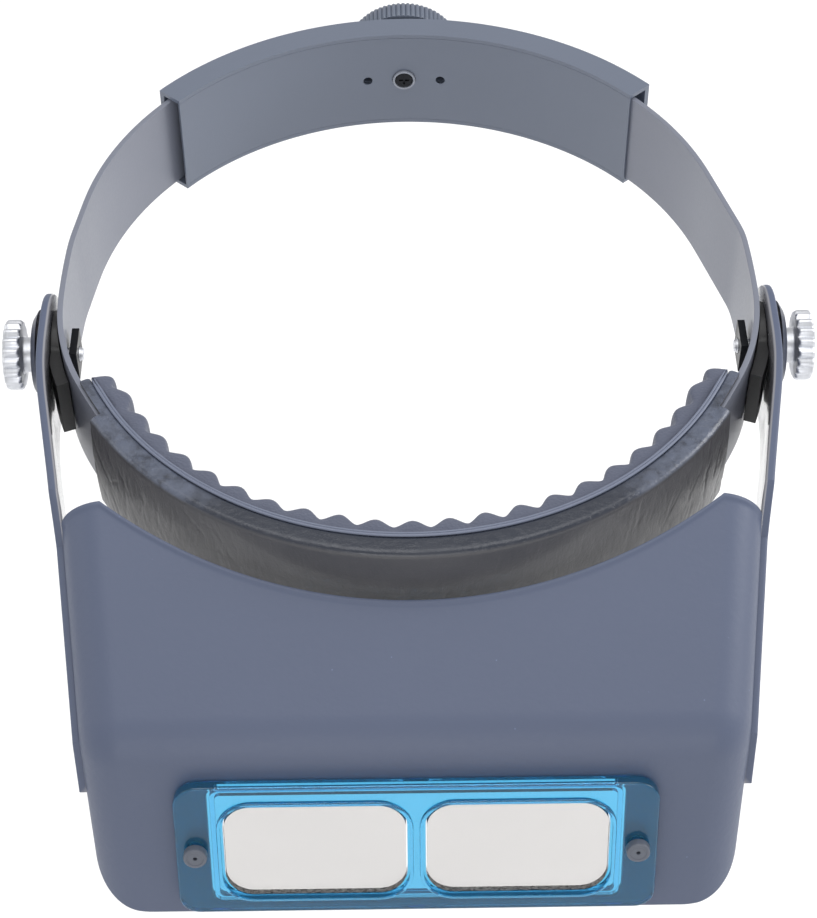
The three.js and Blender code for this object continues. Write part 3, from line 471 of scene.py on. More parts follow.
def leather(name, colour, sheen_top):
    """Leatherette: pebbled grain by Voronoi cells, fine creases across the band, and a glossy, crackled top
    band where the normal points up. That band is given a darker colour as painted shade, and patches of it
    towards the ends are given a lighter colour as a painted highlight."""
    made, tree, out = new_material(name)
    place = add(tree, "ShaderNodeTexCoord")
    shape = add(tree, "ShaderNodeNewGeometry")
    stretch = add(tree, "ShaderNodeMapping", Vector=(place, "Object"), Scale=(1.0, 1.0, 0.35))
    pebble = add(tree, "ShaderNodeTexVoronoi", {"feature": "DISTANCE_TO_EDGE"}, Vector=(place, "Object"),
                 Scale=900.0)
    crease = add(tree, "ShaderNodeTexNoise", Vector=(stretch, "Vector"), Scale=420.0, Detail=5.0,
                 Roughness=0.7,
                 Distortion=0.6)
    cloud = add(tree, "ShaderNodeTexNoise", Vector=(place, "Object"), Scale=55.0, Detail=4.0,
                Roughness=0.65)
    crackle = add(tree, "ShaderNodeTexVoronoi", {"feature": "DISTANCE_TO_EDGE"}, Vector=(place, "Object"),
                  Scale=330.0, Randomness=1.0)
    split = add(tree, "ShaderNodeSeparateXYZ", Vector=(shape, "Normal"))
    up = add(tree, "ShaderNodeMapRange", {"interpolation_type": "SMOOTHSTEP"}, Value=(split, "Z"),
             From_Min=0.25, From_Max=0.8)
    base = linear(colour)
    front = add(tree, "ShaderNodeMix", {"data_type": "RGBA"}, n0=(cloud, "Fac"),
                n6=[c * 0.86 for c in base[:3]] + [1.0], n7=[c * 1.16 for c in base[:3]] + [1.0])
    spot = add(tree, "ShaderNodeSeparateXYZ", Vector=(place, "Object"))
    aside = add(tree, "ShaderNodeMath", {"operation": "ABSOLUTE"}, n0=(spot, "X"))
    # Painted highlight: a ragged mask towards both ends, broken up by noise, lightens the top where glossy
    # reflections would be.
    ragged_reach = add(tree, "ShaderNodeMath", {"operation": "MULTIPLY_ADD"}, n0=(cloud, "Fac"), n1=60 * mm,
               n2=(aside, "Value"))
    highlight_near_ends = add(tree, "ShaderNodeMapRange", {"interpolation_type": "SMOOTHSTEP"}, Value=(ragged_reach, "Value"),
               From_Min=76 * mm, From_Max=98 * mm)
    highlight_noise = add(tree, "ShaderNodeTexNoise", Vector=(stretch, "Vector"), Scale=240.0, Detail=5.0,
                Roughness=0.7)
    highlight_breakup = add(tree, "ShaderNodeMapRange", {"interpolation_type": "SMOOTHSTEP"}, Value=(highlight_noise, "Fac"),
                 From_Min=0.25, From_Max=0.6)
    painted_highlight_patch = add(tree, "ShaderNodeMath", {"operation": "MULTIPLY"}, n0=(highlight_near_ends, "Result"),
                n1=(highlight_breakup, "Result"))
    # Painted shade on the up-facing faces: a darker colour than the front, lighter where the painted
    # highlight mask is set.
    top = add(tree, "ShaderNodeMix", {"data_type": "RGBA"}, n0=(painted_highlight_patch, "Value"), n6=linear("#262b37"),
              n7=linear("#545b6c"))
    tone = add(tree, "ShaderNodeMix", {"data_type": "RGBA"}, n0=(up, "Result"), n6=(front, 2), n7=(top, 2))
    dull = add(tree, "ShaderNodeMapRange", Value=(cloud, "Fac"), From_Min=0.35, From_Max=0.65, To_Min=0.34,
               To_Max=0.5)
    shine = add(tree, "ShaderNodeMapRange", Value=(cloud, "Fac"), From_Min=0.4, From_Max=0.62, To_Min=0.1,
                To_Max=sheen_top)
    rough = add(tree, "ShaderNodeMix", {"data_type": "FLOAT"}, n0=(up, "Result"), n2=(dull, "Result"),
                n3=(shine, "Result"))
    grain = add(tree, "ShaderNodeBump", Height=(pebble, "Distance"), Strength=0.35, Distance=0.12 * mm)
    folds = add(tree, "ShaderNodeBump", Height=(crease, "Fac"), Strength=0.7, Distance=0.35 * mm,
                Normal=(grain, "Normal"))
    crack = add(tree, "ShaderNodeMath", {"operation": "MULTIPLY"}, n0=(crackle, "Distance"),
                n1=(up, "Result"))
    split_top = add(tree, "ShaderNodeBump", Height=(crack, "Value"), Strength=0.45, Distance=0.3 * mm,
                    Normal=(folds, "Normal"))
    shader = add(tree, "ShaderNodeBsdfPrincipled", Base_Color=(tone, 2), Roughness=(rough, 0), IOR=1.5,
                 Coat_Weight=0.25, Coat_Roughness=0.2, Normal=(split_top, "Normal"))
    tree.links.new(shader.outputs["BSDF"], out.inputs["Surface"])
    return made


# Leatherette: coated cloth, dull and pebbled in front, glossy along its top edge, where the darker colour
# is painted shade and the lighter patches near the ends are a painted highlight.
grey_leatherette = leather("grey_leatherette", "#46464a", 0.4)
cover_low, cover_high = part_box("sweatband_cover")
cover_half = cover_high.z
cover_face = -cover_low.y - band_front - 0.05 * mm
channel_face = 1.6 * mm
channel_half = strap_top + 0.5 * mm


def cover_front_shape(s, z):
    """The padded front swells by up to 0.6 mm at mid height. Creases run down it, deepest at its ends."""
    belly = 0.6 * mm * np.cos(np.clip(z / cover_half, -1, 1) * math.pi / 2) * np.ones_like(s)
    furrows = creases(s, z, 420, 11, 4.0, 0.35)
    towards_end = np.clip((np.abs(s) - 35 * mm) / (60 * mm), 0, 1)
    fade = np.clip((cover_half - np.abs(z)) / (3 * mm), 0, 1) * (0.25 + 0.75 * towards_end)
    return belly - 0.16 * mm * np.minimum(furrows, 1.6) * fade


def cover_back_shape(s, z):
    """The lining against the foam is smooth apart from a faint roll."""
    return 0.12 * mm * np.sin(s / (7 * mm)) * np.cos(z / cover_half * math.pi / 2)


cover_line, cover_s = cut_at(band_line, band_lengths, -37.5 * mm)
cover_front = sleeve("sweatband_cover_front", cover_line, cover_s, 1, cover_face, cover_half, 1.6 * mm,
                     channel_face,
                     channel_half, 90, cover_front_shape, grey_leatherette)
lining_line, lining_s = cut_at(band_line, band_lengths, -26 * mm)
cover_back = sleeve("sweatband_cover_lining", lining_line, lining_s, -1, cover_face, cover_half, 1.4 * mm,
                    channel_face,
                    channel_half, 60, cover_back_shape, grey_leatherette)
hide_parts("sweatband_cover")

# ---- Piping ------------------------------------------------------------------------------------
# Two thin cords of leatherette run side by side along the seam between the cover and the foam pad,
# on the top and on the bottom edge. They end in a point at the tips of the lining.
piping_line, piping_s = cut_at(band_line, band_lengths, -26.6 * mm)
# The same coated cloth rolled into a thin cord, coloured lighter than the cover.
piping_tone = moulded_plastic("piping_leatherette", "#6b7285", 0.4, 0.6, 0.3, gloss=0.5)


def tube_points(line, d, z, radius, sides):
    """Circles round a path that runs d outwards from the line at height z, each of its own radius."""
    turn = np.linspace(0, 2 * math.pi, sides, endpoint=False)
    reach = d[:, None] + radius[:, None] * np.cos(turn)
    return outward_grid(line, reach, z[:, None] + radius[:, None] * np.sin(turn))


for edge in (1, -1):
    for inset, thickness in ((-3.05 * mm, 0.42 * mm), (-3.75 * mm, 0.36 * mm)):
        from_tip = np.minimum(piping_s - piping_s[0], piping_s[-1] - piping_s)
        radius = thickness * np.clip(0.35 + from_tip / (6 * mm), 0, 1)
        height = edge * (cover_half - 0.15 * mm + 0 * piping_s)
        wander = 0.06 * mm * np.sin(piping_s / (11 * mm) + inset * 9000)
        points = tube_points(piping_line, inset + wander, height, radius, 12)
        faces = tube_faces(*points.shape[:2])
        level = "top" if edge > 0 else "bottom"
        layer = "outer" if inset > -3.4 * mm else "inner"
        piping = new_piece(f"piping_{level}_{layer}", points, faces, piping_tone, None, 80)
        tidy_mesh(piping, 1e-7)
        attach(piping, "band")

# ---- Foam pad ----------------------------------------------------------------------------------
# A strip of closed-cell foam, cut in rolling waves on the side that rests against the forehead.
# Its cut edges are soft, and each wave is a little different from its neighbours.
foam_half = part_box("foam_pad")[1].z
foam_back = cover_face + 0.35 * mm
foam_trough = 4.5 * mm
foam_wave = 2.8 * mm
foam_line, foam_s = cut_at(band_line, band_lengths, -25 * mm)
foam_span = foam_s[-1] - foam_s[0]
wave_count = round(foam_span / (10 * mm))


def foam_depth(s):
    """Thickness of the foam: troughs plus cosine waves with slightly broadened crests, each wave
    scaled by its own factor, rounded off at the two ends like a quarter of an ellipse."""
    phase = (s - foam_s[0]) / foam_span * wave_count
    crest = (0.5 + 0.5 * np.cos(2 * math.pi * phase)) ** 0.8
    rng = np.random.default_rng(5)
    factor = rng.uniform(0.82, 1.1, wave_count + 2)
    own = np.interp(phase, np.arange(wave_count + 2) - 0.5, factor)
    own = own + 0.35 * np.exp(-(np.minimum(phase, wave_count - phase) / 0.5) ** 2)
    from_tip = np.minimum(s - foam_s[0], foam_s[-1] - s)
    round_off = np.sqrt(1 - (1 - np.clip(from_tip / (4.5 * mm), 0, 1)) ** 2)
    return (foam_trough + foam_wave * crest * own) * np.maximum(round_off, 0.12)


def foam_surface():
    """Closed loops across the band: back face, top edge, waved front and bottom edge. The loop is
    a superellipse of power 6, so the edges are soft and the faces nearly flat."""
    turn = np.linspace(0, 2 * math.pi, 72, endpoint=False)
    power = 2 / 6.0
    c = np.sign(np.cos(turn)) * np.abs(np.cos(turn)) ** power
    k = np.sign(np.sin(turn)) * np.abs(np.sin(turn)) ** power
    thick = foam_depth(foam_s)[:, None]
    d = foam_back + thick * (0.5 - 0.5 * c[None, :])
    z = foam_half * k[None, :] * (1 - 0.02 * (1 - c[None, :])) + 0 * thick
    return outward_grid(foam_line, -d, z)


foam_points = foam_surface()
faces = tube_faces(*foam_points.shape[:2])

# Closed-cell foam: matt, with fine pores and soft dents.
foam_material, tree, out = new_material("closed_cell_foam")
place = add(tree, "ShaderNodeTexCoord")
cells = add(tree, "ShaderNodeTexVoronoi", {"feature": "SMOOTH_F1"}, Vector=(place, "Object"), Scale=1300.0,
            Smoothness=0.4)
lumps = add(tree, "ShaderNodeTexNoise", Vector=(place, "Object"), Scale=160.0, Detail=4.0, Roughness=0.6)
foam_base = linear("#575c6d")
tone = add(tree, "ShaderNodeMix", {"data_type": "RGBA"}, n0=(lumps, "Fac"),
           n6=[c * 0.88 for c in foam_base[:3]] + [1.0], n7=[c * 1.12 for c in foam_base[:3]] + [1.0])
pores = add(tree, "ShaderNodeBump", Height=(cells, "Distance"), Strength=0.5, Distance=0.25 * mm)
dents = add(tree, "ShaderNodeBump", Height=(lumps, "Fac"), Strength=0.4, Distance=0.3 * mm,
            Normal=(pores, "Normal"))
shader = add(tree, "ShaderNodeBsdfPrincipled", Base_Color=(tone, 2), Roughness=0.85, IOR=1.45,
             Sheen_Weight=0.2, Sheen_Roughness=0.5, Normal=(dents, "Normal"))
tree.links.new(shader.outputs["BSDF"], out.inputs["Surface"])
foam_piece = new_piece("foam_pad_soft", foam_points, faces, foam_material, None, 60)
tidy_mesh(foam_piece, 1e-7)
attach(foam_piece, "band")
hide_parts("foam_pad")

# ---- Visor hood --------------------------------------------------------------------------------
# One folded sheet of grey ABS: a sloping top with a hollowed, beaded rear edge, a soft bend, and a
# front panel with a wide window. The outside has a fine leather-like grain, the inside is polished.
hood_thickness = 2.3 * mm
arm_thickness = 2.4 * mm
arm_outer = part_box("visor_hood")[1].x
shoulder_y = -66 * mm
shoulder_in = 8.65 * mm
side_slope = 0.12
side_step = 1.6 * mm
fold_radius = 11 * mm
side_depth = 3 * mm
bend_y, bend_z = -121 * mm, -11 * mm
bend_radius = 16 * mm
slope, tilt = math.radians(24.7), math.radians(15.9)
front_length = 53.4 * mm
rim_y = -89.3 * mm
rim_radius = 137 * mm
rim_drop = 3 * mm
lower_corner = 14 * mm
plate_drop = 30.6 * mm
bend_turn = math.pi / 2 - tilt - slope
bend_cut = bend_radius * math.tan(bend_turn / 2)
top_along = np.array([-math.cos(slope), -math.sin(slope)])
front_along = np.array([-math.sin(tilt), -math.cos(tilt)])


def hood_profile(s):
    """Side view of the outer skin, s counted from the sharp bend line: (y, z) and the normal.
    Before and after the bend it is straight, between them it is an arc of the bend radius."""
    s = np.asarray(s, float)
    turn = np.clip((s + bend_cut) / (2 * bend_cut), 0, 1) * bend_turn
    angle = math.atan2(-top_along[0], top_along[1]) + turn
    n = np.stack((np.cos(angle), np.sin(angle)), -1)
    first = np.array([top_along[1], -top_along[0]])
    start = np.array([bend_y, bend_z]) - bend_cut * top_along
    arc = start - bend_radius * first + bend_radius * n
    on_top = np.array([bend_y, bend_z]) + s[..., None] * top_along
    on_front = np.array([bend_y, bend_z]) + s[..., None] * front_along
    yz = np.where((s <= -bend_cut)[..., None], on_top, np.where((s >= bend_cut)[..., None], on_front, arc))
    return yz, n


def hood_grid(across, s, depth):
    """Points of a skin at a depth under the outer one. across runs 0 to 1 over the flat, 1 to 2
    round the fold, where the normal swings evenly from the panel's to the side's, then down."""
    yz, n = hood_profile(s)
    core = yz - fold_radius * n
    k = math.hypot(1, side_slope)
    out = np.array([1 / k, -side_slope / k, 0.0])
    up = np.stack((np.zeros_like(s), n[..., 0], n[..., 1]), -1)
    edge = arm_outer - shoulder_in - side_step + side_slope * (core[..., 0] - shoulder_y) - fold_radius * k
    c = np.abs(across)[:, None] + 0 * s
    t = np.clip(c - 1, 0, 1)
    open_angle = np.arccos(out[1] * up[..., 1])
    mix = (np.sin((1 - t) * open_angle)[..., None] * up + np.sin(t * open_angle)[..., None] * out)
    mix = mix / np.sin(open_angle)[..., None]
    reach = (fold_radius - depth)[..., None] * mix
    down = np.maximum(c - 2, 0) * side_depth
    x = edge * np.minimum(c, 1) + reach[..., 0]
    y = core[..., 0] + reach[..., 1] - down * n[..., 0]
    z = core[..., 1] + reach[..., 2] - down * n[..., 1]
    return np.stack((np.sign(across)[:, None] * x, y, z), -1)


def hood_ends(across):
    """Where each column starts, at the hollowed rim, and ends, at the round-cornered lower edge."""
    c = np.abs(across)
    shoulder = np.where(c > 1, rim_drop * (1 - np.cos(np.clip(c - 1, 0, 1) * math.pi / 2)), 0)
    start = np.full(c.shape, (rim_y - bend_y) / top_along[0])
    for _ in range(5):
        x = np.abs(hood_grid(np.minimum(c, 1), start[:, None], np.zeros((len(c), 1)))[:, 0, 0])
        start = (rim_y + rim_radius - np.sqrt(rim_radius ** 2 - x ** 2) - bend_y) / top_along[0]
    low = np.full((len(c), 1), front_length - 1 * mm)
    x = hood_grid(c, low, 0 * low)[:, 0, 0]
    half = hood_grid(np.array([2.0]), low[:1], 0 * low[:1])[0, 0, 0]
    past = np.clip(x - (half - lower_corner), 0, lower_corner)
    return start + shoulder, front_length - lower_corner + np.sqrt(lower_corner ** 2 - past ** 2)


def hood_skins():
    """Both skins of the hood as closed loops down the outside and up the inside of each column.
    A bead, a Gaussian ridge 0.4 mm high, follows the rim on the outer skin."""
    side = np.concatenate((1 + np.arange(1, 25) / 24, 2 + np.arange(1, 5) / 4))
    flat = np.linspace(-1, 1, 121)
    across = np.concatenate((-side[::-1], flat, side))
    across[np.abs(across) < 1e-9] = 1e-9
    start, end = hood_ends(across)
    top = np.concatenate((np.linspace(0, 0.07, 12), np.linspace(0.07, 1, 26)[1:]))
    bend = np.linspace(-1, 1, 22)[1:-1] * bend_cut
    front = np.linspace(0, 1, 44)
    s = np.concatenate((
        start[:, None] + top * (-bend_cut - start[:, None]),
        np.broadcast_to(bend, (len(across), len(bend))),
        bend_cut + front * (end[:, None] - bend_cut),
    ), axis=1)
    bead = 0.4 * mm * np.exp(-((s - start[:, None] - 0.7 * mm) / (0.75 * mm)) ** 2)
    ripple = 0.05 * mm * np.sin(s / (13 * mm)) * np.sin(across[:, None] * 3.1)
    outer = hood_grid(across, s, -bead - ripple)
    inner = hood_grid(across, s, np.full(s.shape, hood_thickness))
    return np.concatenate((outer, inner[:, ::-1]), axis=1), s.shape[1]


def prism(outline, low, high, place=None):
    """A temporary closed prism over a flat outline, put in place by a matrix, to cut with."""
    count = len(outline)
    points = [(x, y, low) for x, y in outline] + [(x, y, high) for x, y in outline]
    faces = [list(range(count))[::-1], [count + k for k in range(count)]]
    faces += [[k, (k + 1) % count, (k + 1) % count + count, k + count] for k in range(count)]
    mesh = bpy.data.meshes.new("cutter")
    mesh.from_pydata(points, [], faces)
    made = bpy.data.objects.new("cutter", mesh)
    bpy.context.scene.collection.objects.link(made)
    if place is not None:
        mesh.transform(place)
    tidy_mesh(made, 1e-8)
    return made


def rounded_outline(width, height, lower, upper, steps=10):
    """Corner points of a rectangle with round corners, anticlockwise from the lower right."""
    turn = np.linspace(0, math.pi / 2, steps)
    corners = ((1, -1, lower, -math.pi / 2), (1, 1, upper, 0), (-1, 1, upper, math.pi / 2),
               (-1, -1, lower, math.pi))
    points = [np.column_stack((sx * (width / 2 - r) + r * np.cos(turn + a),
                               sy * (height / 2 - r) + r * np.sin(turn + a)))
              for sx, sy, r, a in corners]
    return np.vstack(points)


def circle_outline(radius, steps=32):
    """Points of a circle."""
    turn = np.linspace(0, 2 * math.pi, steps, endpoint=False)
    return np.column_stack((radius * np.cos(turn), radius * np.sin(turn)))


def cut(made, tools, operation="DIFFERENCE"):
    """Joins or cuts with the tools one after another, then removes them."""
    for tool in tools:
        modifier = made.modifiers.new("cut", "BOOLEAN")
        modifier.operation = operation
        modifier.solver = "MANIFOLD"
        modifier.object = tool
    apply_modifiers(made)
    for tool in tools:
        mesh = tool.data
        bpy.data.objects.remove(tool)
        bpy.data.meshes.remove(mesh)


plate_yz, plate_n = hood_profile(np.array(plate_drop))
panel_place = Matrix((
    (1, 0, 0, 0),
    (0, math.sin(tilt), plate_n[0], plate_yz[0]),
    (0, math.cos(tilt), plate_n[1], plate_yz[1]),
    (0, 0, 0, 1),
))
# ABS with a moulded grain and specks of dust.
grey_abs = moulded_plastic("grained_grey_abs", "#505970", 0.5, 1.5, 0.55, gloss=0.5, tone=0.035, fleck=0.5)


def polished_inside(material, colour, roughness):
    """Adds a second, polished finish to a moulded plastic where the piece's inner attribute is 1."""
    tree = material.node_tree
    grained = next(n for n in tree.nodes if n.type == "BSDF_PRINCIPLED")
    out = next(n for n in tree.nodes if n.type == "OUTPUT_MATERIAL")
    mark = add(tree, "ShaderNodeAttribute", {"attribute_name": "inner"})
    place = add(tree, "ShaderNodeTexCoord")
    wear = add(tree, "ShaderNodeTexNoise", Vector=(place, "Object"), Scale=90.0, Detail=3.0)
    tone = add(tree, "ShaderNodeMapRange", Value=(wear, "Fac"), To_Min=roughness, To_Max=roughness + 0.1)
    smooth = add(tree, "ShaderNodeBsdfPrincipled", Base_Color=linear(colour), Roughness=(tone, "Result"),
                 IOR=1.54,
                 Coat_Weight=0.6, Coat_Roughness=0.08)
    both = add(tree, "ShaderNodeMixShader", n0=(mark, "Fac"), n1=(grained, "BSDF"), n2=(smooth, "BSDF"))
    tree.links.new(both.outputs["Shader"], out.inputs["Surface"])


polished_inside(grey_abs, "#8a8a90", 0.14)
skins, rows = hood_skins()
columns, loop = skins.shape[:2]
faces = grid_faces(columns, loop, wrap_columns=True)
faces += [[k, k + 1, loop - 2 - k, loop - 1 - k] for k in range(rows - 1)]
last = (columns - 1) * loop
faces += [[last + loop - 1 - k, last + loop - 2 - k, last + k + 1, last + k] for k in range(rows - 1)]
hood = new_piece("visor_hood_shell", skins, faces, grey_abs)
inner_mark = hood.data.attributes.new("inner", "FLOAT", "POINT")
inner_mark.data.foreach_set("value", np.tile(np.arange(loop) >= rows, columns).astype(np.float32))
tidy_mesh(hood, 1e-7)
hood_window = prism(rounded_outline(102 * mm, 36.5 * mm, 3 * mm, 3 * mm), -8 * mm, 5 * mm, panel_place)
rivet_spacing = 108.2 * mm
rivet_holes = [prism(circle_outline(1.8 * mm), -8 * mm, 5 * mm, panel_place @ Matrix.Translation((x, 0, 0)))
               for x in (-rivet_spacing / 2, rivet_spacing / 2)]
cut(hood, [hood_window, *rivet_holes])
bevelled(hood, 0.4 * mm, 2, 50)
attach(hood, "visor")
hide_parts("visor_hood")

# ---- Visor arms --------------------------------------------------------------------------------
# Two flat straps, part of the hood's moulding, run from its sides back to the tilt pivots. They
# stand proud of the hood's side, end in a slanted cut below, and in a round eye at the pivot.
eye_centre_z, eye_radius = -1.5 * mm, 17.5 * mm


def arm_plan(y):
    """X of the arm's outer face: straight past the pivot, then two gentle bends inwards."""
    at = np.array([-200, -66, -58, -27, -18, -10, 40]) * mm
    shoulder_x = arm_outer - shoulder_in
    x = np.array([shoulder_x - 134 * mm * side_slope, shoulder_x + 0.2 * mm, shoulder_x + 1.5 * mm,
                  arm_outer - 1.6 * mm, arm_outer - 0.4 * mm, arm_outer, arm_outer])
    fine = np.arange(-150, 40, 0.5) * mm
    rough = np.interp(fine, at, x)
    kernel = np.hanning(23)[1:-1]
    smooth = np.convolve(np.pad(rough, 10, mode="edge"), kernel / kernel.sum(), mode="valid")
    return np.interp(y, fine, smooth)


def arm_edges(y):
    """Top and bottom edge heights along the arm, with the round eye at the pivot end."""
    under = lambda v: bend_z - (v - bend_y) * math.tan(-slope) - (fold_radius + 0.5 * mm)
    eye = np.sqrt(np.maximum(eye_radius ** 2 - np.maximum(y, 0) ** 2, 0))
    top_y = np.array([-119, -114, -113, -69, -62, 0]) * mm
    top_z = np.array([-33 * mm, under(-114 * mm), under(-113 * mm), under(-69 * mm), 15 * mm,
                      eye_centre_z + eye_radius])
    low_y = np.array([-119, -113, -56, 0]) * mm
    low_z = np.array([-33.4 * mm, -35 * mm, -19 * mm, eye_centre_z - eye_radius])
    top = np.where(y > 0, eye_centre_z + eye, np.interp(y, top_y, top_z))
    low = np.where(y > 0, eye_centre_z - eye, np.interp(y, low_y, low_z))
    return top, low


def arm_points(sign):
    """Rounded rectangles across the arm, one for each station along it."""
    stations = np.concatenate((
        np.linspace(-119, -112, 12), np.linspace(-111, -70, 36), np.linspace(-69, -60, 16),
        np.linspace(-59, 0, 60),
        17.5 * np.sin(np.linspace(0, math.pi / 2, 34)[1:]),
    )) * mm
    stations[-1] -= 0.02 * mm
    top, low = arm_edges(stations)
    half = (top - low)[:, None] / 2
    middle = (top + low)[:, None] / 2
    turn = np.linspace(0, math.pi / 2, 5)
    corner = np.minimum(0.7 * mm, half)
    quarter = np.stack((np.cos(turn), np.sin(turn)), -1)
    thick = arm_thickness / 2
    loop_x, loop_z = [], []
    for sx, sz in ((1, 1), (-1, 1), (-1, -1), (1, -1)):
        q = quarter if sx * sz > 0 else quarter[::-1]
        loop_x.append(sx * (thick - corner + corner * q[None, :, 0]))
        loop_z.append(middle + sz * (half - corner + corner * q[None, :, 1]))
    x = np.concatenate(loop_x, 1)
    z = np.concatenate(loop_z, 1)
    y = np.broadcast_to(stations[:, None], z.shape)
    return np.stack((sign * (arm_plan(y) - thick + x), y, z), -1)


for side, sign in (("right", 1), ("left", -1)):
    points = arm_points(sign)
    rows, columns = points.shape[:2]
    faces = tube_faces(rows, columns)
    arm = new_piece(f"visor_arm_{side}", points, faces, grey_abs)
    mark = arm.data.attributes.new("inner", "FLOAT", "POINT")
    inward = (arm_plan(points[..., 1]) - sign * points[..., 0]) > arm_thickness * 0.75
    mark.data.foreach_set("value", inward.reshape(-1).astype(np.float32))
    tidy_mesh(arm, 1e-7)
    turn_x = Matrix.Rotation(math.pi / 2, 4, "Y")
    pivot_hole = prism(circle_outline(2.3 * mm), -130 * mm, 130 * mm, turn_x)
    cut(arm, [pivot_hole])
    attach(arm, "visor")

# ---- Lens plate --------------------------------------------------------------------------------
# A moulded plate of clear blue acrylic, 3.4 mm thick, with a raised bezel round each of its two
# windows and a locating rim behind. Light gathers at its edges, and its tabs look darker where the
# hood is behind them.
plate_thickness = 3.4 * mm
plate_gap = 0.3 * mm
window_spacing = 49.5 * mm
# Acrylic dyed through: its blue deepens with the way that light takes in it.
blue_acrylic, tree, out = new_material("clear_blue_acrylic")
place = add(tree, "ShaderNodeTexCoord")
flow = add(tree, "ShaderNodeTexNoise", Vector=(place, "Object"), Scale=60.0, Detail=2.0)
wavy = add(tree, "ShaderNodeBump", Height=(flow, "Fac"), Strength=0.12, Distance=0.3 * mm)
scuff = add(tree, "ShaderNodeMapRange", Value=(flow, "Fac"), To_Min=0.05, To_Max=0.12)
shader = add(tree, "ShaderNodeBsdfPrincipled", Base_Color=[0.15, 0.60, 0.84, 1.0],
             Roughness=(scuff, "Result"),
             IOR=1.49, Transmission_Weight=0.93, Normal=(wavy, "Normal"))
dye = add(tree, "ShaderNodeVolumeAbsorption", Color=[0.0, 0.52, 0.9, 1.0], Density=90.0)
tree.links.new(shader.outputs["BSDF"], out.inputs["Surface"])
tree.links.new(dye.outputs["Volume"], out.inputs["Volume"])

frame_low, frame_high = plate_gap, plate_gap + plate_thickness
plate = prism(rounded_outline(118 * mm, 40 * mm, 5 * mm, 6 * mm), frame_low, frame_high)
bevelled(plate, 0.7 * mm, 3, 50)
plate.modifiers.clear()
centres = [Matrix.Translation((x, 0, 0)) for x in (-window_spacing / 2, window_spacing / 2)]
bezels = [prism(rounded_outline(48 * mm, 31.5 * mm, 8.5 * mm, 8.5 * mm), frame_high - 0.5 * mm,
                frame_high + 0.9 * mm, c)
          for c in centres]
for bezel in bezels:
    bevelled(bezel, 0.5 * mm, 3, 50)
    bezel.modifiers.clear()
locating_rim = prism(rounded_outline(100.4 * mm, 34.8 * mm, 2.2 * mm, 2.2 * mm), -1.6 * mm,
                     frame_low + 0.4 * mm)
cut(locating_rim, [prism(rounded_outline(98 * mm, 32.4 * mm, 1.5 * mm, 1.5 * mm), -3 * mm, 5 * mm)])
cut(plate, [*bezels, locating_rim], "UNION")
steps_round = [prism(rounded_outline(46.2 * mm, 29.7 * mm, 7.6 * mm, 7.6 * mm), frame_high - 0.9 * mm,
                     9 * mm, c)
               for c in centres]
windows = [prism(rounded_outline(45 * mm, 28.5 * mm, 7 * mm, 7 * mm), -2 * mm, 9 * mm, c) for c in centres]
holes = [prism(circle_outline(1.8 * mm), -2 * mm, 9 * mm, Matrix.Translation((x, 0, 0)))
         for x in (-rivet_spacing / 2, rivet_spacing / 2)]
cut(plate, [*windows, *steps_round, *holes])
plate.name = "lens_plate_frame"
plate.data.materials.clear()
plate.data.materials.append(blue_acrylic)
bevelled(plate, 0.2 * mm, 2, 60)
plate.data.transform(panel_place)
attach(plate, "lens_plate")
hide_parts("lens_frame")

# ---- Lenses ------------------------------------------------------------------------------------
# Two plano-convex magnifying lenses of clear acrylic, held in the windows. Their faces are polished
# and bulge by less than a millimetre, and their sawn edges are left rough and grey.
# Clear acrylic: polished faces and, where the edge is marked, ground grey.
lens_acrylic, tree, out = new_material("polished_clear_acrylic")
place = add(tree, "ShaderNodeTexCoord")
edge = add(tree, "ShaderNodeAttribute", {"attribute_name": "sawn_edge"})
saw = add(tree, "ShaderNodeTexNoise", Vector=(place, "Object"), Scale=900.0, Detail=4.0, Roughness=0.7)
rough = add(tree, "ShaderNodeMapRange", Value=(edge, "Fac"), To_Min=0.01, To_Max=0.6)
clear = add(tree, "ShaderNodeBsdfPrincipled", Base_Color=[0.66, 0.645, 0.635, 1.0],
            Roughness=(rough, "Result"),
            IOR=1.49, Transmission_Weight=1.0)
tone = add(tree, "ShaderNodeMapRange", Value=(saw, "Fac"), From_Min=0.4, From_Max=0.6, To_Min=0.06,
           To_Max=0.6)
ground = add(tree, "ShaderNodeBsdfPrincipled", Base_Color=(tone, "Result"), Roughness=0.7)
both = add(tree, "ShaderNodeMixShader", n0=(edge, "Fac"), n1=(clear, "BSDF"), n2=(ground, "BSDF"))
tree.links.new(both.outputs["Shader"], out.inputs["Surface"])


def lens_points(width, height, corner, back, edge_front, bulge, rings):
    """Closed shell of scaled copies of one outline: a flat back, a straight edge, and a front that
    rises towards the middle as one minus the square of the distance from it."""
    outline = rounded_outline(width, height, corner, corner, 14)
    scale = np.linspace(0.02, 1, rings)
    front = [np.column_stack((outline * k, np.full(len(outline), edge_front + bulge * (1 - k * k))))
             for k in scale]
    rear = [np.column_stack((outline * k, np.full(len(outline), back))) for k in scale[::-1]]
    return np.stack(front + rear)


for side, sign in (("left", -1), ("right", 1)):
    points = lens_points(44.4 * mm, 27.9 * mm, 6.7 * mm, plate_gap, plate_gap + 3.3 * mm, 0.7 * mm, 24)
    rows, columns = points.shape[:2]
    faces = tube_faces(rows, columns)
    lens = new_piece(f"magnifying_lens_{side}", points, faces, lens_acrylic)
    sawn = lens.data.attributes.new("sawn_edge", "FLOAT", "FACE")
    centres_z = np.array([np.mean([points.reshape(-1, 3)[v][2] for v in f.vertices])
                          for f in lens.data.polygons])
    on_edge = (centres_z > plate_gap + 0.2 * mm) & (centres_z < plate_gap + 3.2 * mm)
    sawn.data.foreach_set("value", on_edge.astype(np.float32))
    lens.data.transform(panel_place @ Matrix.Translation((sign * window_spacing / 2, 0, 0)))
    tidy_mesh(lens, 1e-8)
    lens.data.set_sharp_from_angle(angle=math.radians(35))
    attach(lens, "lens_plate")
    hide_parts(f"lens_{side}")
